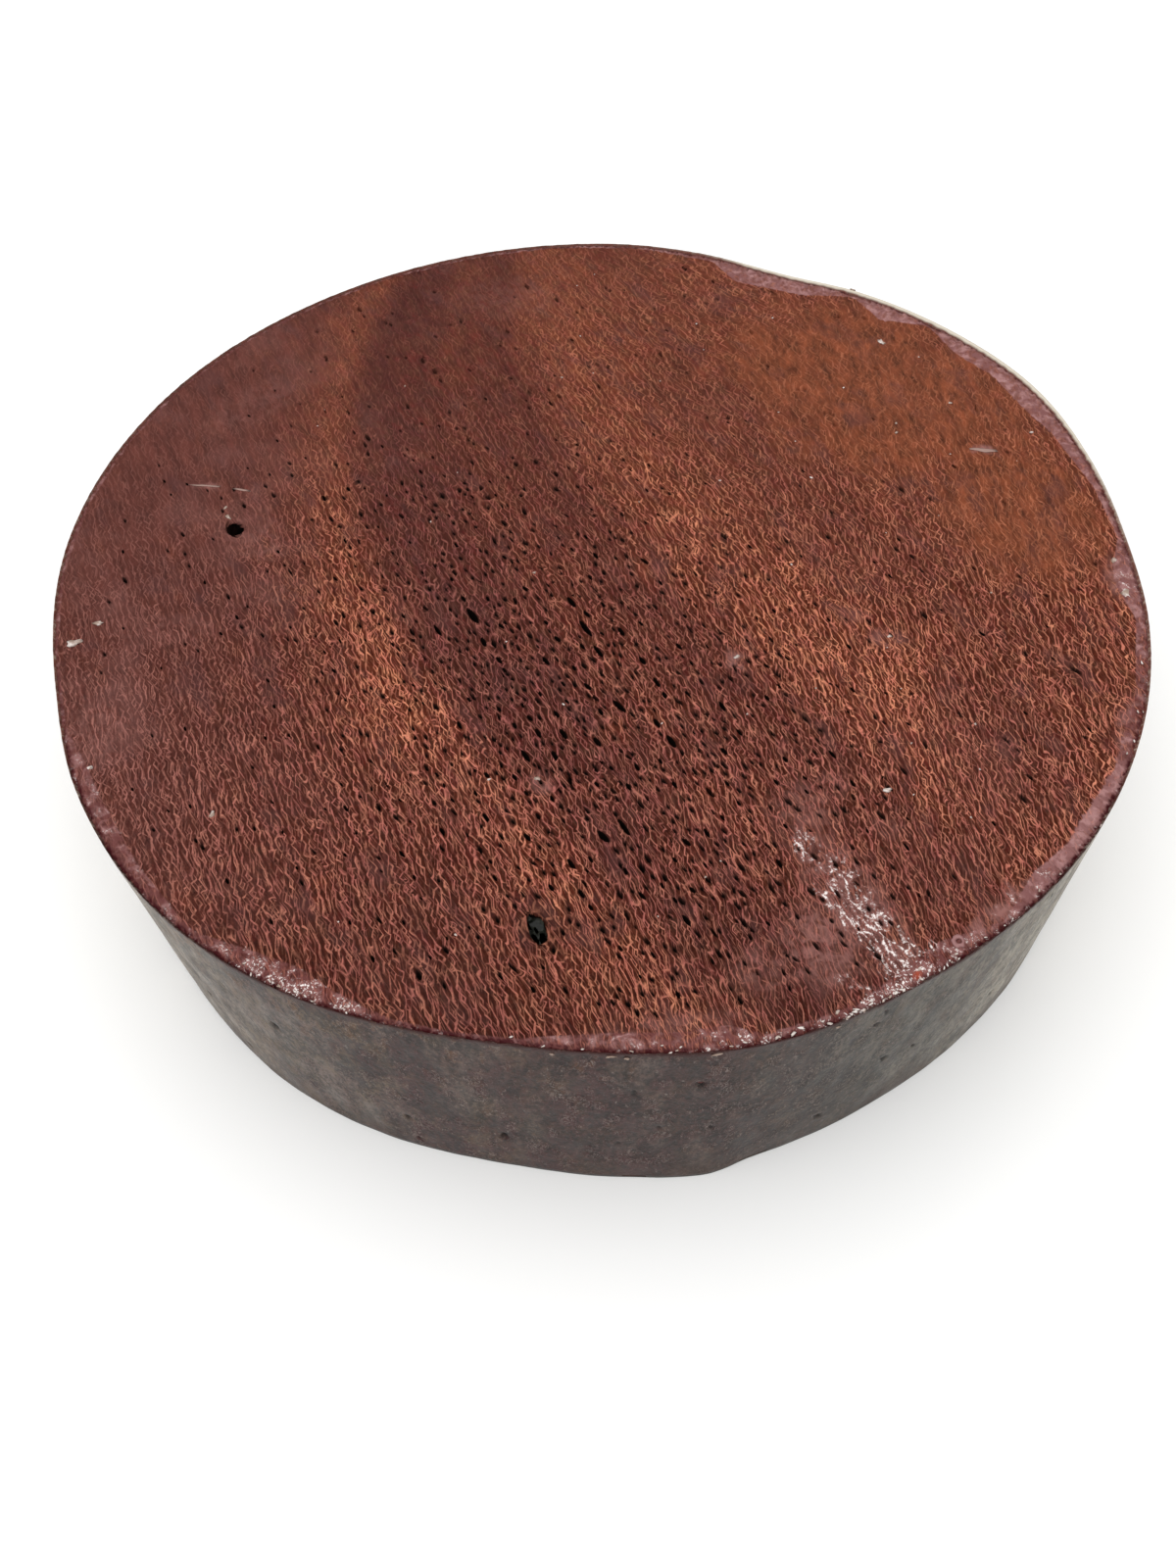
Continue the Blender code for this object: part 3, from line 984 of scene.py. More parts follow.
def pits_of(pores, small, knots=()):
    """The pits of a face: exact ones for the solid's own pores, and fine ones that fit their cells."""
    pits = [
        Pit(x, y, 2 * mouth * radius * stretch, 2 * mouth * radius / stretch, lean, depth, shares)
        for ((x, y), radius, depth, shares, stretch, lean), mouth in zip(knots, KNOT_MOUTHS)
    ]
    for x, y, length, width, lean in pores:
        mouth = LONE_MOUTH + (CROWDED_MOUTH - LONE_MOUTH) * smooth_step(0.12, 0.62, belt_share(x, y))
        pits.append(Pit(x, y, mouth * length, mouth * width, lean, 0.5 * length + 0.4 * MILLIMETRE))
    pits += [
        Pit(x, y, length, width, lean, 0.7 * length, settled=False) for x, y, length, width, lean in small
    ]
    return pits


# Families of threads: which way they swing, millimetres apart, crest that shows, strength
THREADS = ((1, 1.25, 0.72, 0.95), (-1, 1.25, 0.72, 0.95), (-0.8, 0.83, 0.62, 0.50))

# From one meeting of two threads to the next along the grain, in millimetres
LOOP_LENGTH = 3.6


def fine_threads(finish, across, along):
    """Thin threads that swing to and fro and meet their neighbours, so that they enclose long loops."""
    place = finish.join(across, along * 0.4)
    bend, slip, swing = finish.drifts(place, 0.26, 2.0)
    curl, jolt, fading = finish.drifts(place, 0.8, 1.0)
    line_up = across + bend * 1.7 + curl * 0.16
    row = along * (1 / LOOP_LENGTH) + slip * 2.4 + jolt * 0.16
    zigzag = row.zigzag(0.5) * 4.0 - 1.0
    swing = zigzag * (swing * 0.8 + 0.36)
    threads = None
    for side, apart, thin, share in THREADS:
        phase = line_up + swing * side
        wave = (phase * (2 * math.pi / apart)).sine()
        line = wave.between(thin, 1.0, 0.0, share)
        line = line * (fading * side).between(-0.12, 0.1, 0.1, 1.0)
        threads = line if threads is None else threads.at_least(line)
    return threads


def wood_finish(name, colours, seed):
    """Dark red timber under a thin seal: orange strands over dark cells, in drawn-out bands."""
    finish = Finish(name)
    place = finish.place_in_millimetres()
    x, y, _ = finish.split(place)
    shifted = finish.term("Mapping", {"Vector": place, "Location": (17.0 * seed, 9.0 * seed, 0)})
    sx, sy, _ = finish.split(shifted)

    # The grain's own measure: across it, and along it at less than a third
    leaning = x.between(-10.0, 85.0, 0.4, LEAN_AT_RIGHT)
    leaned = sx + sy * leaning
    grain = finish.join(leaned, sy * 0.28)
    fibre = finish.noise(grain, 1.9, 3.0, 0.55)
    thread = finish.noise(grain, 0.62, 2.0, 0.5)
    streak = finish.noise(grain, 0.22, 3.0, 0.5)
    mottle = finish.noise(place, 0.12, 3.0, 0.55)

    # Bands of lighter timber that sweep down to the right
    rise = (y - 45.0) ** 2.0
    start = x + (54.0 - rise * 0.00345)
    spread = 63.0 - y * 0.33
    band = start / spread + (streak - 0.5) * 0.2
    share = (band + 1.5) * 0.25
    light = finish.curve(share, [((u + 1.5) / 4, tone) for u, tone in BAND_TONES])
    light = (light + (mottle - 0.5) * 0.5).clamped()

    # Thick clear wax over the back right, and dull mauve timber at the left
    light = light.towards(0.4, y.between(-20.0, -85.0, 0.0, 0.45))
    for centre_x, centre_y, reach_x, reach_y, turn, share, tone in TONE_SPOTS:
        spot = finish.blob(x, y, (centre_x, centre_y), (reach_x, reach_y), turn)
        light = light.towards(tone, spot * share)
    deep = finish.blob(x, y, (58, 48), (44, 34), -38)
    deep = deep.at_least(finish.blob(x, y, (80, 12), (22, 28), 10))
    uneven = (streak - 0.5) + (mottle - 0.5)
    deep = (deep + uneven * 1.1).between(0.05, 1.1)
    dull = x.between(-36.0, -86.0) * 0.85
    cells = finish.mix(light, colours.dark_cell, colours.cell)
    olive, maroon, pink = finish.drifts(finish.join(leaned, sy * 0.6), 0.5, 2.0, 0.6)
    cells = finish.mix(olive.between(0.02, 0.2, 0.0, 0.55), cells, colours.olive)
    cells = finish.mix(maroon.between(0.02, 0.2, 0.0, 0.55), cells, colours.maroon)
    cells = finish.mix(dull, cells, colours.dull_cell)
    cells = finish.mix(deep * 0.85, cells, colours.brown_cell)
    bright = finish.mix(light, colours.dark_strand, colours.strand)
    flushed = finish.mix(1.0, bright, colours.flush, "MULTIPLY")
    bright = finish.mix(pink.between(-0.16, 0.16, 0.0, 0.8), bright, flushed)
    bright = finish.mix(dull, bright, colours.dull_strand)
    bright = finish.mix(deep * 0.85, bright, colours.brown_strand)

    # Strands over cells, plainest at the front and softest at the back, where a painted haze of reflected
    # light flattens and lifts them
    raw = finish.attribute("strand")
    crisp = y.between(-80.0, 70.0, 1.0, 0.3)
    crisp = crisp * (light * 0.6 + 1.02)
    crisp = crisp * (1.0 - deep * 0.35)
    crisp = crisp * (y - x).between(50.0, 110.0, 1.0, 0.6)
    frayed = (fibre - 0.5) * 0.5
    strand = (raw + frayed).between(0.52, 1.05)
    threads = fine_threads(finish, leaned, sy)
    glow = (thread - 0.5) * 2.4 + 0.85
    strand = strand.at_least(threads) * glow.at_least(0.2)
    # Painted shade: a dark foot along each side of a strand, where its relief would be shaded
    foot = strand.between(0.0, 0.12) * strand.between(0.45, 0.15)
    floor_tone = raw.at_most(0.0) * 0.35
    ground = (fibre - 0.5) * 1.6 + floor_tone + foot * -0.2
    soft = finish.noise(grain, 0.42, 2.0, 0.6)
    soft = (soft - 0.5) * y.between(-60.0, 60.0, 0.6, 2.1)
    veined = finish.noise(finish.join(x * 1.2, y * 0.45), 0.42, 4.0, 0.65)
    veined = (veined - 0.5) * (deep * 3.4)
    ground = ground * crisp + soft + veined + 1.0
    figured = cells.scaled(ground.at_least(0.3))
    # Painted haze of reflected light, lifting the back towards the strands' colour
    far_haze = (1.0 - crisp).clamped() * 0.13
    figured = finish.mix((strand * crisp + far_haze).clamped(), figured, bright)
    grain_speck = (finish.noise(place, 2.6, 2.0, 0.7) - 0.5) * crisp
    figured = figured.scaled(grain_speck + 1.0)
    figured = figured.scaled(y.between(-55.0, -94.0, 1.0, 0.8))

    # Mauve bloom in soft clouds, drawn out along the grain
    bloom = finish.noise(finish.join(leaned, sy * 0.6), 0.14, 4.0, 0.65)
    figured = finish.mix(bloom.between(0.5, 0.72, 0.0, 0.42), figured, colours.bloom)

    # Haze of thin dry wax
    cloud = finish.noise(place, 0.055, 3.0, 0.6)
    drift = finish.noise(place, 0.42, 4.0, 0.62, 0.5)
    haze = cloud.between(0.48, 0.75) * (x.between(-30.0, -95.0) * 0.22 + 0.05)
    patches = finish.attribute("haze") * drift.between(0.36, 0.62, 0.15, 0.85)
    figured = finish.mix(haze.at_least(patches), figured, colours.haze)

    # Wax lap, and the dark red arris outside it
    ragged = (fibre - 0.5) * 0.35
    lapped = (finish.attribute("waxed") + ragged).between(-0.12, 0.22)
    paler = (x + y).between(50.0, 90.0, 0.0, 0.6).at_least(finish.blob(x, y, (75, -60), (26, 22), 45))
    pale = (drift.between(0.42, 0.7) + paler * 0.45).clamped()
    mauve = finish.mix(pale, colours.wax, colours.wax_light)
    thin = finish.noise(place, 0.7, 3.0, 0.6).between(0.38, 0.62, 0.25, 0.85)
    thin = (thin + paler * 0.45).clamped()
    figured = finish.mix(lapped * thin, figured, mauve)
    arris = (finish.attribute("rim") + ragged * 2.0).between(0.95, 0.35)
    far_side = (x + y).between(62.0, 90.0, 0.0, 0.8)
    arris = arris * far_side.at_least(y.between(-15.0, -55.0, 0.0, 1.0))
    bitten = finish.noise(place, 1.3, 2.0, 0.6).between(0.35, 0.6, 0.25, 1.0)
    figured = finish.mix(arris * bitten, figured, colours.arris)

    # Painted gloss: painted highlights, white on the crests and in glints on the lap, a painted whitish sheen
    # over the patch, and painted shade, black in the troughs
    curl = finish.noise(finish.join(leaned, sy * 0.55), 1.0, 4.0, 0.65, 0.5)
    lit = finish.attribute("gloss") + (drift - 0.5) * 3.2
    lit = lit.between(0.35, 0.85) * finish.attribute("gloss").between(0.05, 0.4)
    sparkle = finish.noise(place, 2.4, 2.0, 0.6, 0.6)
    crest = raw * 0.7 + (curl - 0.5) * 1.5 + (sparkle - 0.5) * 2.0
    glints = sparkle.between(0.46, 0.7, 0.0, 0.95)
    crest = crest.towards(glints, finish.attribute("waxed").between(-0.2, 0.2))
    shade = crest.between(0.15, -0.5) * (lit * 0.6) * (1.0 - lapped * 0.8)
    figured = finish.mix(lit * 0.35, figured, colours.haze)
    figured = finish.mix(shade, figured, colours.pore)
    figured = finish.mix(crest.between(0.28, 0.8) * lit, figured, colours.white)

    # A spot of bare, bright timber by the arris
    bare = finish.blob(x, y, (46.6, -86.9), (1.2, 0.8), 40) * (0.7 if seed == 0 else 0.0)
    figured = finish.mix(bare * curl.between(0.3, 0.6, 0.4, 1.0), figured, colours.bare)

    # Darker timber that wraps round the front knot hole
    ring = finish.blob(x, y, (-9.6, -78.8), (5.6, 4.4), 114) * (0.0 if seed else 0.42)
    figured = figured.scaled(1.0 - ring)

    # Open pores, with painted shade inside them, lighter at the back and under thick wax
    pore_shade = (y.between(15.0, 60.0, 1.0, 0.6) - deep * 0.75).clamped()
    pore_shade = finish.attribute("hollow").between(0.35, 0.9) * pore_shade
    figured = finish.mix(pore_shade, figured, colours.pore)

    rough = fibre.between(0.3, 0.7, 0.42, 0.56) + lapped * -0.18
    finish.bump(fibre, 0.25, 0.0001)
    return finish.surfaced(figured, rough.at_least(finish.attribute("hollow")), 0.04)


def wax_finish(name, colours):
    """Grey-mauve wax on a sawn rim: mottled, gritty, run down a little, and paler where it is thick and where
    a painted sheen lies at the sides.
    """
    finish = Finish(name)
    place = finish.place_in_millimetres()
    x, y, z = finish.split(place)
    place = finish.join(x, y, z * 0.55)
    cloud = finish.noise(place, 0.045, 3.0, 0.6)
    mottle = finish.noise(place, 0.3, 4.0, 0.62)
    grit = finish.noise(place, 1.2, 3.0, 0.7)
    scratch = finish.noise(place, 0.9, 3.0, 0.6, 1.2)
    upright = finish.join(x * 0.55, y * 0.55, z * 0.12)
    drip = finish.noise(upright, 0.42, 3.0, 0.6)

    # The wax at the back lies more evenly
    patchy = y.between(-20.0, 45.0, 1.0, 0.42)
    base = finish.mix(mottle.between(0.36, 0.64), colours.grey, colours.mauve)
    greenish = (x.between(5.0, 55.0, 0.0, 0.9) + cloud.between(0.45, 0.7, 0.0, 0.15)).clamped()
    base = finish.mix(greenish * y.between(0.0, 60.0, 1.0, 0.4), base, colours.green)
    uneven = (cloud * 0.5 + drip * 0.35 - 0.425) * patchy
    # Pale thick wax, which at the left and right sides also paints the sheen of grazing reflection
    thick = (finish.attribute("thick") + uneven).clamped()
    base = finish.mix(thick, base, colours.thick_wax_and_sheen)
    brown, olive, worn = finish.drifts(place, 0.2, 4.0, 0.65)
    brown = brown.between(0.0, 0.16, 0.0, 0.5) * patchy
    base = finish.mix(brown, base, colours.stain)
    olive = olive.between(-0.04, 0.14) * x.between(20.0, -60.0, 0.15, 0.65)
    base = finish.mix(olive * patchy, base, colours.olive)
    blotch = worn * 0.9 + (grit - 0.5) * 1.5
    base = base.scaled((blotch * patchy).between(-0.3, 0.3, 0.36, 1.46))
    through = mottle.between(0.52, 0.66) * z.between(30.0, 47.0)
    base = finish.mix(through * x.between(30.0, -30.0, 0.05, 0.55), base, colours.tan)
    fleck = finish.noise(place, 1.1, 3.0, 0.7)
    base = finish.mix(fleck.between(0.62, 0.74, 0.0, 0.7), base, colours.pale)
    base = finish.mix(fleck.between(0.36, 0.28, 0.0, 0.9), base, colours.dark)
    mark = abs(scratch - 0.5).between(0.034, 0.0) * mottle.between(0.46, 0.6)
    base = finish.mix(mark * 0.75, base, colours.pale)
    mark = abs(scratch - 0.44).between(0.03, 0.0) * mottle.between(0.54, 0.4)
    base = finish.mix(mark * 0.85, base, colours.dark)
    stain = z.between(13.0, 3.0) * cloud.between(0.4, 0.62)
    base = finish.mix(stain * 0.55, base, colours.stain)
    base = finish.mix(z.between(1.4, 0.3) * 0.6, base, colours.foot)
    nicked = fleck.between(0.4, 0.56, 0.55, 1.0)
    arris = finish.mix(y.between(-72.0, -35.0), colours.crown, colours.bare_crown)
    base = finish.mix(finish.attribute("crown") * nicked, base, arris)
    base = finish.mix(finish.attribute("lip"), base, colours.cream)
    # Painted shade inside the pits
    base = finish.mix(finish.attribute("hollow"), base, colours.pore)
    finish.bump(grit + mottle, 0.45, 0.0002)
    return finish.surfaced(base, mottle.between(0.3, 0.7, 0.36, 0.52), 0.12)


def chip_finish(name, colours):
    """White wax, whiter in some chips than in others."""
    finish = Finish(name)
    place = finish.place_in_millimetres()
    tone = finish.noise(place, 0.9, 3.0, 0.6) - finish.attribute("dull") * 0.25
    base = finish.mix(tone.between(0.35, 0.62), colours.dull_chip, colours.white_chip)
    base = finish.mix(finish.attribute("dull").between(1.05, 1.6), base, colours.mauve_chip)
    return finish.surfaced(base, tone.between(0.3, 0.7, 0.35, 0.6), 0.3)


def ring_chip(bm, x, y, height):
    """A ring of wax round a burst bubble, at x and y in millimetres."""
    layer = bm.verts.layers.float["dull"]
    upright = Matrix.Translation((0.75, 0, 0)) @ Matrix.Rotation(math.pi / 2, 4, "X")
    made = bmesh.ops.create_circle(bm, segments=8, radius=0.32, matrix=upright)["verts"]
    edges = list({edge for vert in made for edge in vert.link_edges})
    before = set(bm.verts) - set(made)
    bmesh.ops.spin(
        bm, geom=made + edges, cent=(0, 0, 0), axis=(0, 0, 1), angle=2 * math.pi, steps=24,
        use_merge=True,
    )
    for vert in set(bm.verts) - before:
        vert[layer] = 1.6
        uneven = 1 + 0.35 * noise.noise(vert.co * 1.6)
        vert.co = Vector((x + vert.co.x * uneven, y + vert.co.y * uneven, vert.co.z * 0.8)) * MILLIMETRE
        vert.co.z += height


def film_finish(name, colours):
    """Greenish grey wax that skinned over in a knot hole."""
    finish = Finish(name)
    place = finish.place_in_millimetres()
    tone = finish.noise(place, 1.2, 3.0, 0.6)
    base = finish.mix(tone.between(0.4, 0.66), colours.film, colours.film_light)
    return finish.surfaced(base, tone.between(0.3, 0.7, 0.3, 0.5), 0.15)


def colour_property(name, description, default):
    shown = {"subtype": "COLOR", "size": 4, "min": 0.0, "max": 1.0}
    return FloatVectorProperty(name=name, description=description, default=srgb(*default), **shown)


def length_property(name, description, millimetres):
    return FloatProperty(name=name, description=description, default=millimetres * MILLIMETRE, unit="LENGTH")


def share_property(name, description, default):
    return FloatProperty(name=name, description=description, default=default, subtype="FACTOR")


def angle_property(name, description, degrees):
    return FloatProperty(name=name, description=description, default=math.radians(degrees), subtype="ANGLE")


class WoodRoundNet(bpy.types.PropertyGroup):
    """Sizes of the raised net on the sawn faces."""

    cell_width: length_property("Cell Width", "How far apart the strands lie", 1.24)
    point_share: share_property("Pointed Ends", "How far the cells' ends are drawn out", 0.22)
    cell_length: length_property("Cell Length", "From one row of cells to the next", 1.95)
    strand_width: length_property("Strand Width", "Across a strand's foot", 0.40)
    strand_height: length_property("Strand Height", "From a cell's floor to the crest", 0.09)
    wander: length_property("Wander", "How far the strands stray from the grain", 1.0)
    open_share: share_property("Broken Strands", "The share of strands that are missing", 0.22)
    fine_pores: IntProperty(name="Fine Pores", description="Small pores besides the solid's own", default=900)


class WoodRoundColours(bpy.types.PropertyGroup):
    """Colours of the timber under its seal."""

    dark_cell: colour_property("Dark Cells", "Cell floors in the darkest bands", (51, 20, 13))
    cell: colour_property("Cells", "Cell floors in the lightest bands", (80, 34, 20))
    olive: colour_property("Olive Cells", "Cell floors under thicker seal", (64, 38, 25))
    maroon: colour_property("Maroon Cells", "Cell floors under thinner seal", (78, 26, 22))
    dull_cell: colour_property("Dull Cells", "Cell floors in the mauve timber at the left", (80, 42, 36))
    brown_cell: colour_property("Brown Cells", "Cell floors under thick clear wax", (104, 53, 33))
    dark_strand: colour_property("Dark Strands", "Strands in the darkest bands", (160, 100, 88))
    strand: colour_property("Strands", "Strands in the lightest bands", (214, 138, 104))
    dull_strand: colour_property("Dull Strands", "Strands in the mauve timber", (140, 92, 84))
    brown_strand: colour_property("Brown Strands", "Strands under thick clear wax", (176, 108, 78))
    flush: colour_property("Flush", "Tint of the pinker strands", (232, 208, 232))
    bloom: colour_property("Bloom", "Mauve clouds in the timber", (84, 54, 53))
    haze: colour_property("Haze", "Thin dry wax", (140, 96, 90))
    wax: colour_property("Wax Lap", "Wax that laps on to the face", (106, 62, 60))
    wax_light: colour_property("Light Wax Lap", "Its paler flecks", (160, 118, 116))
    # The colour of the painted highlights on the glossy wax and the lap, partly white dry wax
    white: colour_property("White Wax", "The brightest dry wax", (236, 226, 222))
    arris: colour_property("Arris", "Bare red wood on the sawn edge", (62, 22, 25))
    bare: colour_property("Bare Spot", "Timber where the wax chipped off", (160, 60, 28))
    # Painted shade inside the pores and knot holes, and in the troughs of the painted glints
    pore: colour_property("Pores", "Inside the open pores", (14, 8, 6))


class WoodRoundWax(bpy.types.PropertyGroup):
    """Sizes and colours of the wax on the rim."""

    turns: IntProperty(name="Steps Round", description="Steps of the ring round the rim", default=1080)
    bands: IntProperty(name="Bands", description="Bands of the ring up the wall", default=54)
    lumps: length_property("Lumps", "How far the wax swells", 0.16)
    grey: colour_property("Grey", "Wax on the rim", (60, 40, 37))
    mauve: colour_property("Mauve", "Its warmer clouds", (58, 32, 32))
    green: colour_property("Greenish Grey", "Its cooler clouds", (64, 62, 56))
    olive: colour_property("Olive", "Thin wax over the timber at the left", (88, 73, 54))
    tan: colour_property("Tan", "Timber that shows through below the arris", (104, 74, 48))
    # Thick pale wax, and the painted sheen at the rim's sides
    thick_wax_and_sheen: colour_property("Warm Grey", "Thick wax at the sides", (190, 180, 163))
    pale: colour_property("Pale Scratches", "Fine dry scratches", (130, 118, 112))
    dark: colour_property("Dark Scratches", "Fine oily scratches", (40, 32, 30))
    stain: colour_property("Stains", "Brown stains above the base", (66, 46, 36))
    foot: colour_property("Foot", "The dark line at the base", (66, 66, 60))
    bare_crown: colour_property("Bare Arris", "The arris at the back", (112, 66, 56))
    crown: colour_property("Crown", "The wood's edge, seen through the wax above the rim", (58, 30, 28))
    cream: colour_property("Lip", "The pale lip round the face", (206, 196, 180))
    # Painted shade inside the rim's pits
    pore: colour_property("Pits", "Inside the pits", (18, 14, 13))
    white_chip: colour_property("White Chips", "Dry white wax", (222, 212, 206))
    dull_chip: colour_property("Dull Chips", "Chips that the wood shows through", (158, 136, 122))
    mauve_chip: colour_property("Mauve Chips", "Ridges of thin wax on the lap and the face", (146, 104, 102))
    film: colour_property("Film", "Wax that skinned over in the front knot hole", (16, 17, 14))
    film_light: colour_property("Light Film", "Its paler parts", (44, 45, 38))


class WoodRoundStage(bpy.types.PropertyGroup):
    """The floor, the lights and the camera."""

    floor_width: length_property("Floor Width", "Side of the floor", 6000)
    floor_colour: colour_property("Floor", "The plain floor", (246, 246, 245))
    lens: FloatProperty(name="Lens", description="Focal length in millimetres", default=29.54)
    elevation: angle_property("Elevation", "The camera's angle above the face", 44.67)
    roll: angle_property("Roll", "How far the camera leans over", -0.38)
    distance: length_property("Distance", "From the camera to the face's middle", 242.9)
    aim_x: FloatProperty(name="Aim Across", description="Its middle's column, of 1200", default=609.4)
    aim_y: FloatProperty(name="Aim Down", description="Its middle's row, of 1600", default=564.8)


class WOODROUND_OT_face(bpy.types.Operator):
    """Model the figured top face, with its net, pores, knot holes and wax lap"""

    bl_idname = "wood_round.face"
    bl_label = "Figured Face"

    def execute(self, context):
        sizes = context.scene.wood_round_net
        pores = scattered_pores(random.Random(PORE_SEED), TOP_PORES)
        taken = [(x, y, length / 2) for x, y, length, _, _ in pores]
        long_pores = []
        for x, y, length, width in LONG_PORES:
            x, y, length, width = (value * MILLIMETRE for value in (x, y, length, width))
            if all(math.hypot(x - px, y - py) > 0.8 * (length / 2 + other) for px, py, other in taken):
                long_pores.append((x, y, length, width, PORE_LEAN))
                taken.append((x, y, length / 2))
        taken += [(x, y, 1.3 * radius) for (x, y), radius, *_ in KNOT_HOLES]
        small = fine_pores(random.Random(43), sizes.fine_pores, taken)
        bm = netted_slab(
            sizes, 7, pits_of(pores + long_pores, small, KNOT_HOLES),
            lambda angle: top_edge(angle) - lip_width(angle),
            lambda angle: wall_radius(angle, THICKNESS / 2) - TUCKED_IN,
            under_wax,
            marks_on_top,
        )
        bmesh.ops.translate(bm, vec=(0, 0, THICKNESS - WAX_FILM), verts=bm.verts)
        finished("figured_face", bm, wood_finish("figured_face", context.scene.wood_round_colours, 0))
        return {"FINISHED"}


class WOODROUND_OT_base(bpy.types.Operator):
    """Model the sawn base, netted like the face but with fewer pores"""

    bl_idname = "wood_round.base"
    bl_label = "Sawn Base"

    def execute(self, context):
        sizes = context.scene.wood_round_net
        draw = random.Random(PORE_SEED)
        scattered_pores(draw, TOP_PORES)
        pores = [(x, -y, *rest) for x, y, *rest in scattered_pores(draw, BASE_PORES)]
        taken = [(x, y, length / 2) for x, y, length, _, _ in pores]
        small = fine_pores(random.Random(47), sizes.fine_pores // 3, taken)
        bm = netted_slab(
            sizes, 11, pits_of(pores, small),
            lambda angle: foot_edge(-angle) - 0.8 * MILLIMETRE,
            lambda angle: wall_radius(-angle, THICKNESS / 2) - TUCKED_IN,
            lambda point: point.length - foot_edge(-angle_of(point)) + 1.6 * MILLIMETRE,
            marks_on_base,
        )
        turned = Matrix.Rotation(math.pi, 4, "X")
        bmesh.ops.transform(bm, matrix=Matrix.Translation((0, 0, WAX_FILM)) @ turned, verts=bm.verts)
        finished("sawn_base", bm, wood_finish("sawn_base", context.scene.wood_round_colours, 1))
        return {"FINISHED"}


def rim_pits():
    """(angle, height, half length) of the pits in the rim: the solid's own, then finer ones."""
    draw = random.Random(RIM_SEED)
    pits = []
    for index in range(RIM_PORES):
        angle = 360 * (index + draw.uniform(-0.35, 0.35)) / RIM_PORES
        height = draw.uniform(0.006, THICKNESS - 0.008)
        length = draw.uniform(0.0010, 0.0018)
        # The solid draws a lean here, for which a round pit has no use
        draw.uniform(0, 180)
        pits.append((angle, height, length / 2))
    for _ in range(2 * RIM_PORES):
        angle = draw.uniform(0, 360)
        height = draw.uniform(0.003, THICKNESS - 0.003)
        pits.append((angle, height, draw.uniform(0.0004, 0.0007)))
    return pits


def pits_round_the_rim():
    """For every 2 degrees of the rim, the pits that lie near."""
    pits = rim_pits()
    return [
        [pit for pit in pits if abs((pit[0] - step - 1 + 180) % 360 - 180) < 4]
        for step in range(0, 360, 2)
    ]


def rim_profile(bands):
    """The ring's section, from inside the top arris over the lip, down the wall and back inside."""
    top = [("top", -0.5, -1.0), ("top", -0.05, -0.30), ("top", 0.30, -0.04)]
    lip = [("lip", 0.55, 0.0), ("lip", 0.85, -0.12)]
    wall = [("wall", 0.0, 1 - (k + 0.7) / bands) for k in range(bands)]
    foot_line = ((0.10, 0.35), (0.45, 0.06), (0.9, 0.0), (1.5, 0.0), (1.9, 0.12), (1.6, 0.9))
    foot = [("foot", inward, up) for inward, up in foot_line]
    back = [("back", 0.9, 0.05), ("back", 0.9, 0.95)]
    return top + lip + wall + foot + back


def rim_place(kind, a, b, angle):
    """A point of the ring's section at an angle."""
    edge = top_edge(angle)
    lip = lip_width(angle)
    if kind == "top":
        return edge - lip + a * MILLIMETRE * min(1, lip / MILLIMETRE + 0.2), THICKNESS + b * MILLIMETRE
    if kind == "lip":
        return edge - lip * (1 - a), THICKNESS + b * MILLIMETRE
    if kind == "foot":
        return foot_edge(angle) - a * MILLIMETRE, b * MILLIMETRE
    height = b * THICKNESS
    if kind == "wall":
        return wall_radius(angle, height), height
    return wall_radius(angle, height) - a * MILLIMETRE, height


def wax_swell(angle, height):
    """How far the wax swells at a point of the wall, as a share of its lumps."""
    swell = noise.noise(Vector((*polar(angle, 11).xy, height * 130)))
    drip = noise.noise(Vector((*polar(angle, 24).xy, height * 30 + 9)))
    return 0.6 * swell + 0.4 * drip - 0.3


def lay_out_rim(bm, order, count):
    """A bake map of the ring, in six pieces of 60 degrees."""
    strip = bm.loops.layers.uv.new("OFBake")
    rows, columns = 3, 2
    span = 360 / (rows * columns)
    for face in bm.faces:
        keys = [order[vert] for vert in face.verts]
        angles = [angle for _, angle in keys]
        low = max(angles) if max(angles) - min(angles) > 180 else min(angles)
        piece = int(low / span + 1e-6) % (rows * columns)
        wraps = max(k for k, _ in keys) - min(k for k, _ in keys) > 1
        for loop, (k, angle) in zip(face.loops, keys):
            along = ((angle - span * piece) % 360) / span
            along = along if along < 1.5 else 0.0
            up = (count if k == 0 and wraps else k) / count
            u = (piece % columns + 0.01 + 0.98 * along) / columns
            v = (piece // columns + 0.01 + 0.98 * up) / rows
            loop[strip].uv = (u, v)


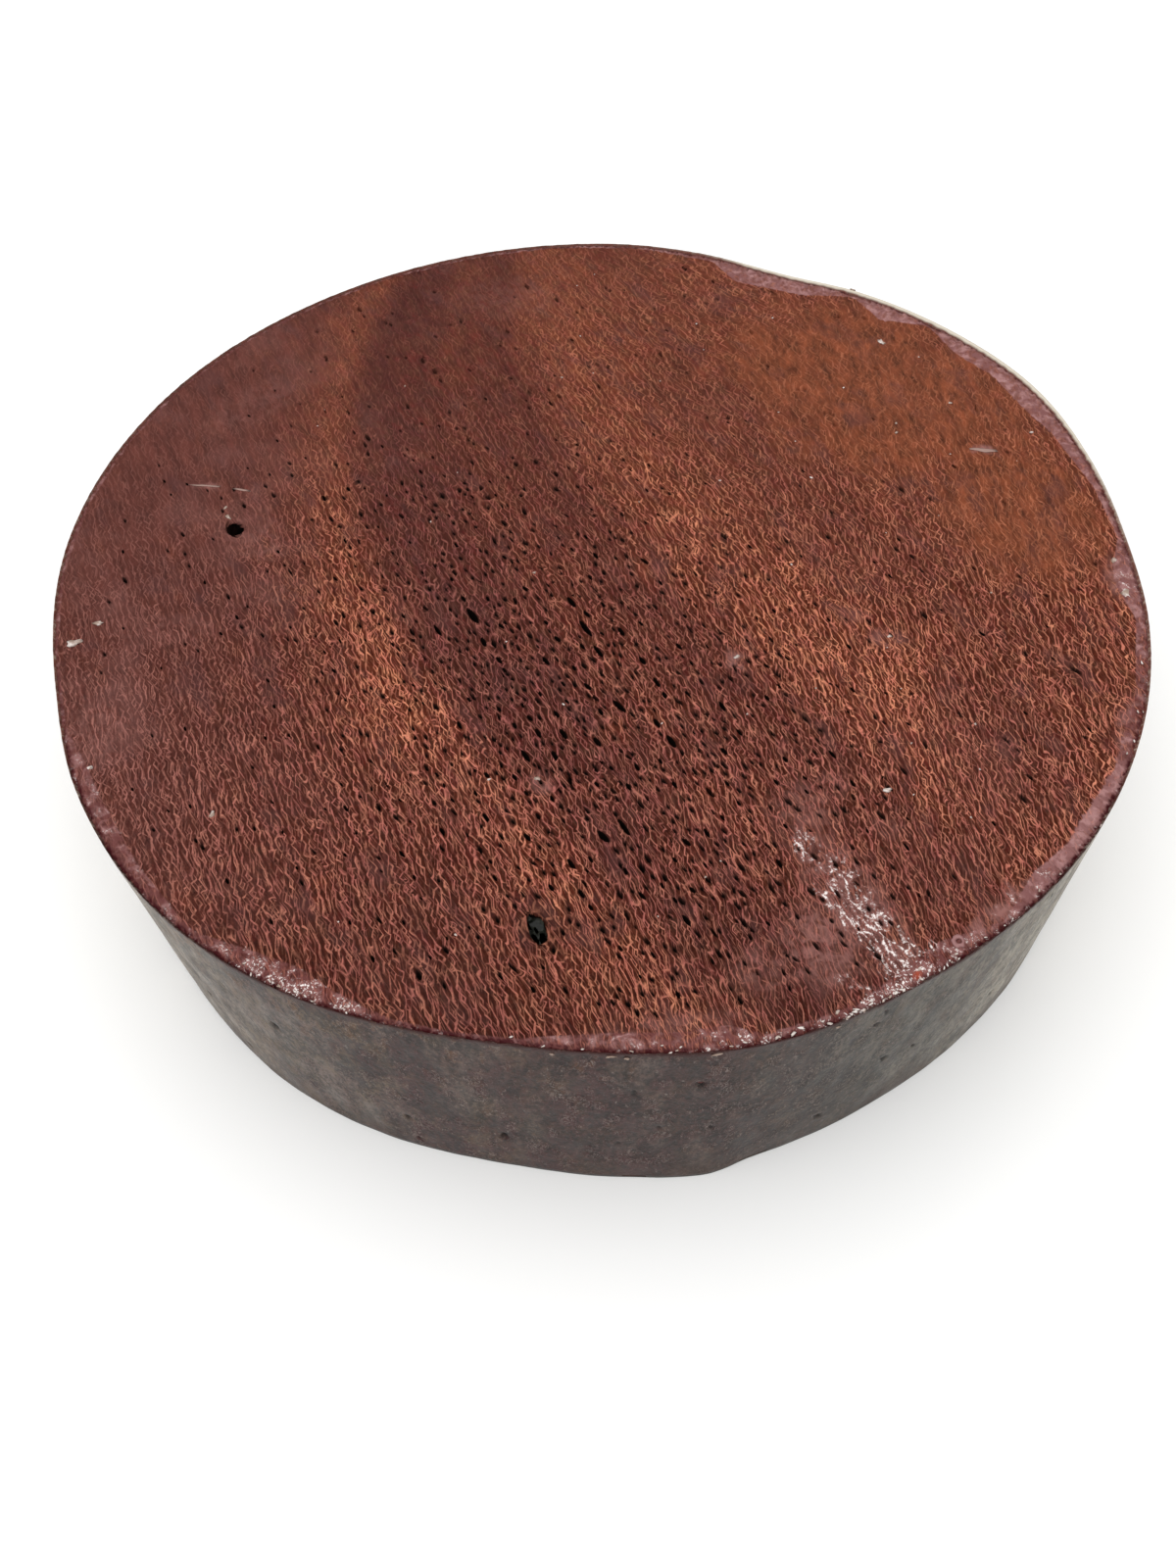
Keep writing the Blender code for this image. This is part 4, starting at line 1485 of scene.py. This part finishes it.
class WOODROUND_OT_rim(bpy.types.Operator):
    """Model the wax round the sawn rim, with its lip, lumps and pits"""

    bl_idname = "wood_round.rim"
    bl_label = "Rim Wax"

    def execute(self, context):
        sizes = context.scene.wood_round_wax
        profile = rim_profile(sizes.bands)
        bm = bmesh.new()
        first = [bm.verts.new((1, 0, k * MILLIMETRE)) for k in range(len(profile))]
        section = [bm.edges.new((first[k], first[(k + 1) % len(first)])) for k in range(len(first))]
        bmesh.ops.spin(
            bm, geom=section + first, cent=(0, 0, 0), axis=(0, 0, 1), angle=2 * math.pi, steps=sizes.turns,
            use_merge=True,
        )
        lip_layer, hollow, crown, thick = value_layers(bm, ("lip", "hollow", "crown", "thick"))
        order = {vert: (round(vert.co.z / MILLIMETRE), angle_of(vert.co)) for vert in bm.verts}
        nearby = pits_round_the_rim()
        for vert, (k, angle) in order.items():
            kind, a, b = profile[k]
            radius, height = rim_place(kind, a, b, angle)
            if kind == "wall":
                radius += sizes.lumps * wax_swell(angle, height)
                for pit_angle, pit_height, reach in nearby[int(angle / 2) % len(nearby)]:
                    over = math.radians((angle - pit_angle + 180) % 360 - 180) * RADIUS
                    if abs(over) < 2 * reach and abs(height - pit_height) < 2 * reach:
                        near = math.hypot(over, height - pit_height) / reach
                        radius -= 0.9 * reach * smooth_step(1.15, 0.3, near)
                        # The pit's hollow value paints shade inside it
                        vert[hollow] = max(vert[hollow], smooth_step(1.05, 0.75, near))
            # Thick wax, with a painted sheen at the sides
            vert[thick] = rim_wax(angle)
            if kind in ("top", "lip") or b > 0.975:
                pale = smooth_step(0.35, 0.9, on_ring(WAX_LIP, angle))
                vert[lip_layer] = 0.0 if k < 2 else pale
                vert[crown] = 1.0 if k < 2 else 1.0 - pale
            vert.co = polar(angle, radius)
            vert.co.z = height
        bmesh.ops.recalc_face_normals(bm, faces=bm.faces)
        lay_out_rim(bm, order, len(profile))
        finished("rim_wax", bm, wax_finish("rim_wax", sizes))
        return {"FINISHED"}


# Crumbs of white wax: how many, and how far out on the face in millimetres
CRUMBS = 46
CRUMB_FIELD_EDGE = 92

# More crumbs inside the arris: (from angle, to angle, how many, largest)
ARRIS_CRUMBS = ((283, 303, 26, 0.7), (238, 250, 12, 0.4), (300, 345, 14, 0.4), (262, 283, 10, 0.4))

# Flakes on the rim: (angle, drop below the arris, length), in millimetres
RIM_FLAKES = (
    (270.8, 1.0, 1.3), (279.6, 0.8, 1.4), (272.2, 1.6, 0.8),
    (266.0, 1.4, 0.7), (290.0, 1.6, 0.6), (55.0, 0.1, 1.4),
)

# Where a bubble burst in the wax lap, in millimetres
BUBBLE = (53.5, -81.5)

# Gaps in the film over the front knot hole, in shares of its size: (x, y, reach along, reach across)
FILM_GAPS = (
    (-0.50, 0.46, 0.38, 0.34), (-0.62, -0.36, 0.36, 0.40),
    (0.10, -0.10, 0.20, 0.12), (0.62, 0.50, 0.30, 0.22),
)


def chip(bm, x, y, height, length, width, turn, draw, stands=0.22, dull=0.0):
    """A flat, lumpy chip of wax, in millimetres but for its height above the base."""
    layer = bm.verts.layers.float["dull"]
    made = bmesh.ops.create_icosphere(bm, subdivisions=2, radius=1)["verts"]
    offset = Vector([draw.uniform(0, 50) for _ in range(3)])
    spin = Matrix.Rotation(math.radians(turn), 3, "Z")
    for vert in made:
        vert[layer] = dull
        lumpy = vert.co * (1 + 0.9 * noise.noise(vert.co * 1.5 + offset))
        shaped = spin @ Vector((lumpy.x * length / 2, lumpy.y * width / 2, lumpy.z * stands * width))
        vert.co = (shaped + Vector((x, y, 0))) * MILLIMETRE + Vector((0, 0, height))


class WOODROUND_OT_chips(bpy.types.Operator):
    """Strew the chips, smears and crumbs of white wax over the face, its arris and the rim"""

    bl_idname = "wood_round.chips"
    bl_label = "Wax Chips"

    def execute(self, context):
        draw = random.Random(29)
        bm = bmesh.new()
        bm.verts.layers.float.new("dull")
        wood = THICKNESS - WAX_FILM
        for x, y, length, width, turn in WAX_CHIPS:
            if length < 3:
                chip(bm, x, y, wood, length, width, turn, draw, dull=0.4 * draw.random())
            else:
                chip(bm, x, y, wood, length, width, turn, draw, stands=0.08, dull=1.3)
        for _ in range(CRUMBS):
            angle = draw.uniform(0, 360)
            spot = polar(angle, math.sqrt(draw.random()) * CRUMB_FIELD_EDGE)
            size = draw.uniform(0.18, 0.38)
            length = size * draw.uniform(1.0, 1.8)
            chip(bm, spot.x, spot.y, wood, length, size, draw.uniform(0, 180), draw)
        for start, end, count, largest in ARRIS_CRUMBS:
            for _ in range(count):
                angle = draw.uniform(start, end)
                edge = (top_edge(angle) - lip_width(angle)) / MILLIMETRE
                spot = polar(angle, edge - abs(draw.gauss(0.35, 0.6)))
                size = draw.uniform(0.3, largest)
                length = size * draw.uniform(1.0, 2.0)
                turn = angle + 90 + draw.gauss(0, 30)
                chip(bm, spot.x, spot.y, THICKNESS - 0.1 * MILLIMETRE, length, 0.7 * size, turn, draw)
        ring_chip(bm, *BUBBLE, THICKNESS)
        for angle, drop, length in RIM_FLAKES:
            height = THICKNESS - drop * MILLIMETRE
            spot = polar(angle, wall_radius(angle, height) / MILLIMETRE)
            chip(bm, spot.x, spot.y, height, length, 0.36, angle + 90, draw, stands=0.5, dull=1.0)
        finished("wax_chips", bm, chip_finish("wax_chips", context.scene.wood_round_wax))
        return {"FINISHED"}


class WOODROUND_OT_film(bpy.types.Operator):
    """Stretch the film of wax, with two holes in it, across the front knot hole"""

    bl_idname = "wood_round.film"
    bl_label = "Knot Film"

    def execute(self, context):
        (x, y), radius, _, shares, stretch, lean = KNOT_HOLES[1]
        radius *= KNOT_MOUTHS[1]
        hole = Pit(x, y, 2 * radius * stretch, 2 * radius / stretch, lean, 0, shares)
        bm = bmesh.new()
        bmesh.ops.create_grid(bm, x_segments=44, y_segments=32, size=1)
        gaps = [vert for vert in bm.verts if any(
            math.hypot((vert.co.x - gap_x) / along, (vert.co.y - gap_y) / across) < 1
            for gap_x, gap_y, along, across in FILM_GAPS
        )]
        bmesh.ops.delete(bm, geom=gaps, context="VERTS")
        bmesh.ops.solidify(bm, geom=bm.faces, thickness=0.05)
        for vert in bm.verts:
            reach = max(math.hypot(vert.co.x, vert.co.y), 1e-4)
            share = reach * max(abs(vert.co.x), abs(vert.co.y)) / reach
            turn = math.atan2(vert.co.y, vert.co.x) % (2 * math.pi)
            placed = hole.edge(turn, 1.04 * share)
            sag = 1.3 + 0.6 * noise.noise(Vector((placed.x * 900, placed.y * 900, 3))) - 0.5 * share**4
            vert.co = (placed.x, placed.y, THICKNESS - WAX_FILM - (sag + vert.co.z * 4) * MILLIMETRE)
        bmesh.ops.recalc_face_normals(bm, faces=bm.faces)
        finished("knot_film", bm, film_finish("knot_film", context.scene.wood_round_wax))
        return {"FINISHED"}


class WOODROUND_OT_stage(bpy.types.Operator):
    """Lay the floor, hang the lights and set the camera"""

    bl_idname = "wood_round.stage"
    bl_label = "Stage"

    def execute(self, context):
        stage = context.scene.wood_round_stage
        lay_floor(stage)
        hang_lights()
        set_camera(stage)
        return {"FINISHED"}


def lay_floor(stage):
    bm = bmesh.new()
    bmesh.ops.create_grid(bm, x_segments=1, y_segments=1, size=stage.floor_width / 2)
    mesh = bpy.data.meshes.new("floor")
    bm.to_mesh(mesh)
    bm.free()
    floor = bpy.data.objects.new("floor", mesh)
    bpy.context.scene.collection.objects.link(floor)
    mesh.materials.append(Finish("floor").surfaced(stage.floor_colour, 0.9, 0.1))


def area_light(name, place, size, power, aim=(0, 0, 0.03)):
    lamp = bpy.data.lights.new(name, "AREA")
    lamp.shape = "RECTANGLE"
    lamp.size, lamp.size_y = size
    lamp.energy = power
    light = bpy.data.objects.new(name, lamp)
    light.location = place
    light.rotation_euler = (Vector(aim) - Vector(place)).to_track_quat("-Z", "Y").to_euler()
    bpy.context.scene.collection.objects.link(light)


def hang_lights():
    world = bpy.data.worlds.new("studio")
    world.use_nodes = True
    world.node_tree.nodes["Background"].inputs["Color"].default_value = (1.0, 1.0, 1.0, 1.0)
    world.node_tree.nodes["Background"].inputs["Strength"].default_value = 0.42
    bpy.context.scene.world = world
    sky = bpy.data.lights.new("skylight", "SUN")
    sky.energy = 2.55
    sky.angle = math.radians(80)
    light = bpy.data.objects.new("skylight", sky)
    light.rotation_euler = Vector((0.16, 0.20, -1.4)).to_track_quat("-Z", "Y").to_euler()
    bpy.context.scene.collection.objects.link(light)
    area_light("window", (0.35, 0.75, 1.15), (0.20, 0.20), 0.3)
    bpy.context.scene.view_settings.view_transform = "Standard"


# The camera's sensor in millimetres, and the photo in pixels
SENSOR_SIDE = 36
PHOTO_WIDTH, PHOTO_HEIGHT = 1200, 1600


def set_camera(stage):
    camera_data = bpy.data.cameras.new("camera")
    camera_data.lens = stage.lens
    camera_data.sensor_width = SENSOR_SIDE
    camera = bpy.data.objects.new("camera", camera_data)
    bpy.context.scene.collection.objects.link(camera)
    bpy.context.scene.camera = camera
    focal = stage.lens / SENSOR_SIDE * PHOTO_HEIGHT
    target = Vector((-MIDDLE.x, -MIDDLE.y, THICKNESS))
    back = Vector((0, -math.cos(stage.elevation), math.sin(stage.elevation)))
    level = (-back).to_track_quat("-Z", "Y").to_matrix() @ Matrix.Rotation(stage.roll, 3, "Z")
    aimed = (stage.aim_x - PHOTO_WIDTH / 2, PHOTO_HEIGHT / 2 - stage.aim_y)
    seen = Vector((aimed[0] / focal, aimed[1] / focal, -1)).normalized()
    offset = Vector((0, 0, -1)).rotation_difference(seen).to_matrix()
    camera.matrix_world = (
        Matrix.Translation(target + back * stage.distance) @ (level @ offset.inverted()).to_4x4()
    )
    camera_data.clip_start = 0.01


class WOODROUND_PT_panel(bpy.types.Panel):
    """Sizes, colours and steps of the wood round"""

    bl_idname = "WOODROUND_PT_panel"
    bl_label = "Wood Round"
    bl_space_type = "VIEW_3D"
    bl_region_type = "UI"
    bl_category = "Wood Round"

    def draw(self, context):
        layout = self.layout
        for operator in OPERATORS:
            layout.operator(operator.bl_idname)
        for name, group in GROUPS.items():
            box = layout.box()
            box.label(text=group.__doc__)
            for key in group.__annotations__:
                box.prop(getattr(context.scene, name), key)


GROUPS = {
    "wood_round_net": WoodRoundNet,
    "wood_round_colours": WoodRoundColours,
    "wood_round_wax": WoodRoundWax,
    "wood_round_stage": WoodRoundStage,
}
OPERATORS = (
    WOODROUND_OT_face, WOODROUND_OT_base, WOODROUND_OT_rim,
    WOODROUND_OT_chips, WOODROUND_OT_film, WOODROUND_OT_stage,
)
CLASSES = (*GROUPS.values(), *OPERATORS, WOODROUND_PT_panel)


def register():
    for cls in CLASSES:
        bpy.utils.register_class(cls)
    for name, group in GROUPS.items():
        setattr(bpy.types.Scene, name, PointerProperty(type=group))


def unregister():
    for name in GROUPS:
        delattr(bpy.types.Scene, name)
    for cls in reversed(CLASSES):
        bpy.utils.unregister_class(cls)


def main():
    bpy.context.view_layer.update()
    register()
    bpy.ops.wood_round.face()
    bpy.ops.wood_round.base()
    bpy.ops.wood_round.rim()
    bpy.ops.wood_round.chips()
    bpy.ops.wood_round.film()
    bpy.ops.wood_round.stage()


if __name__ == "__main__":
    main()
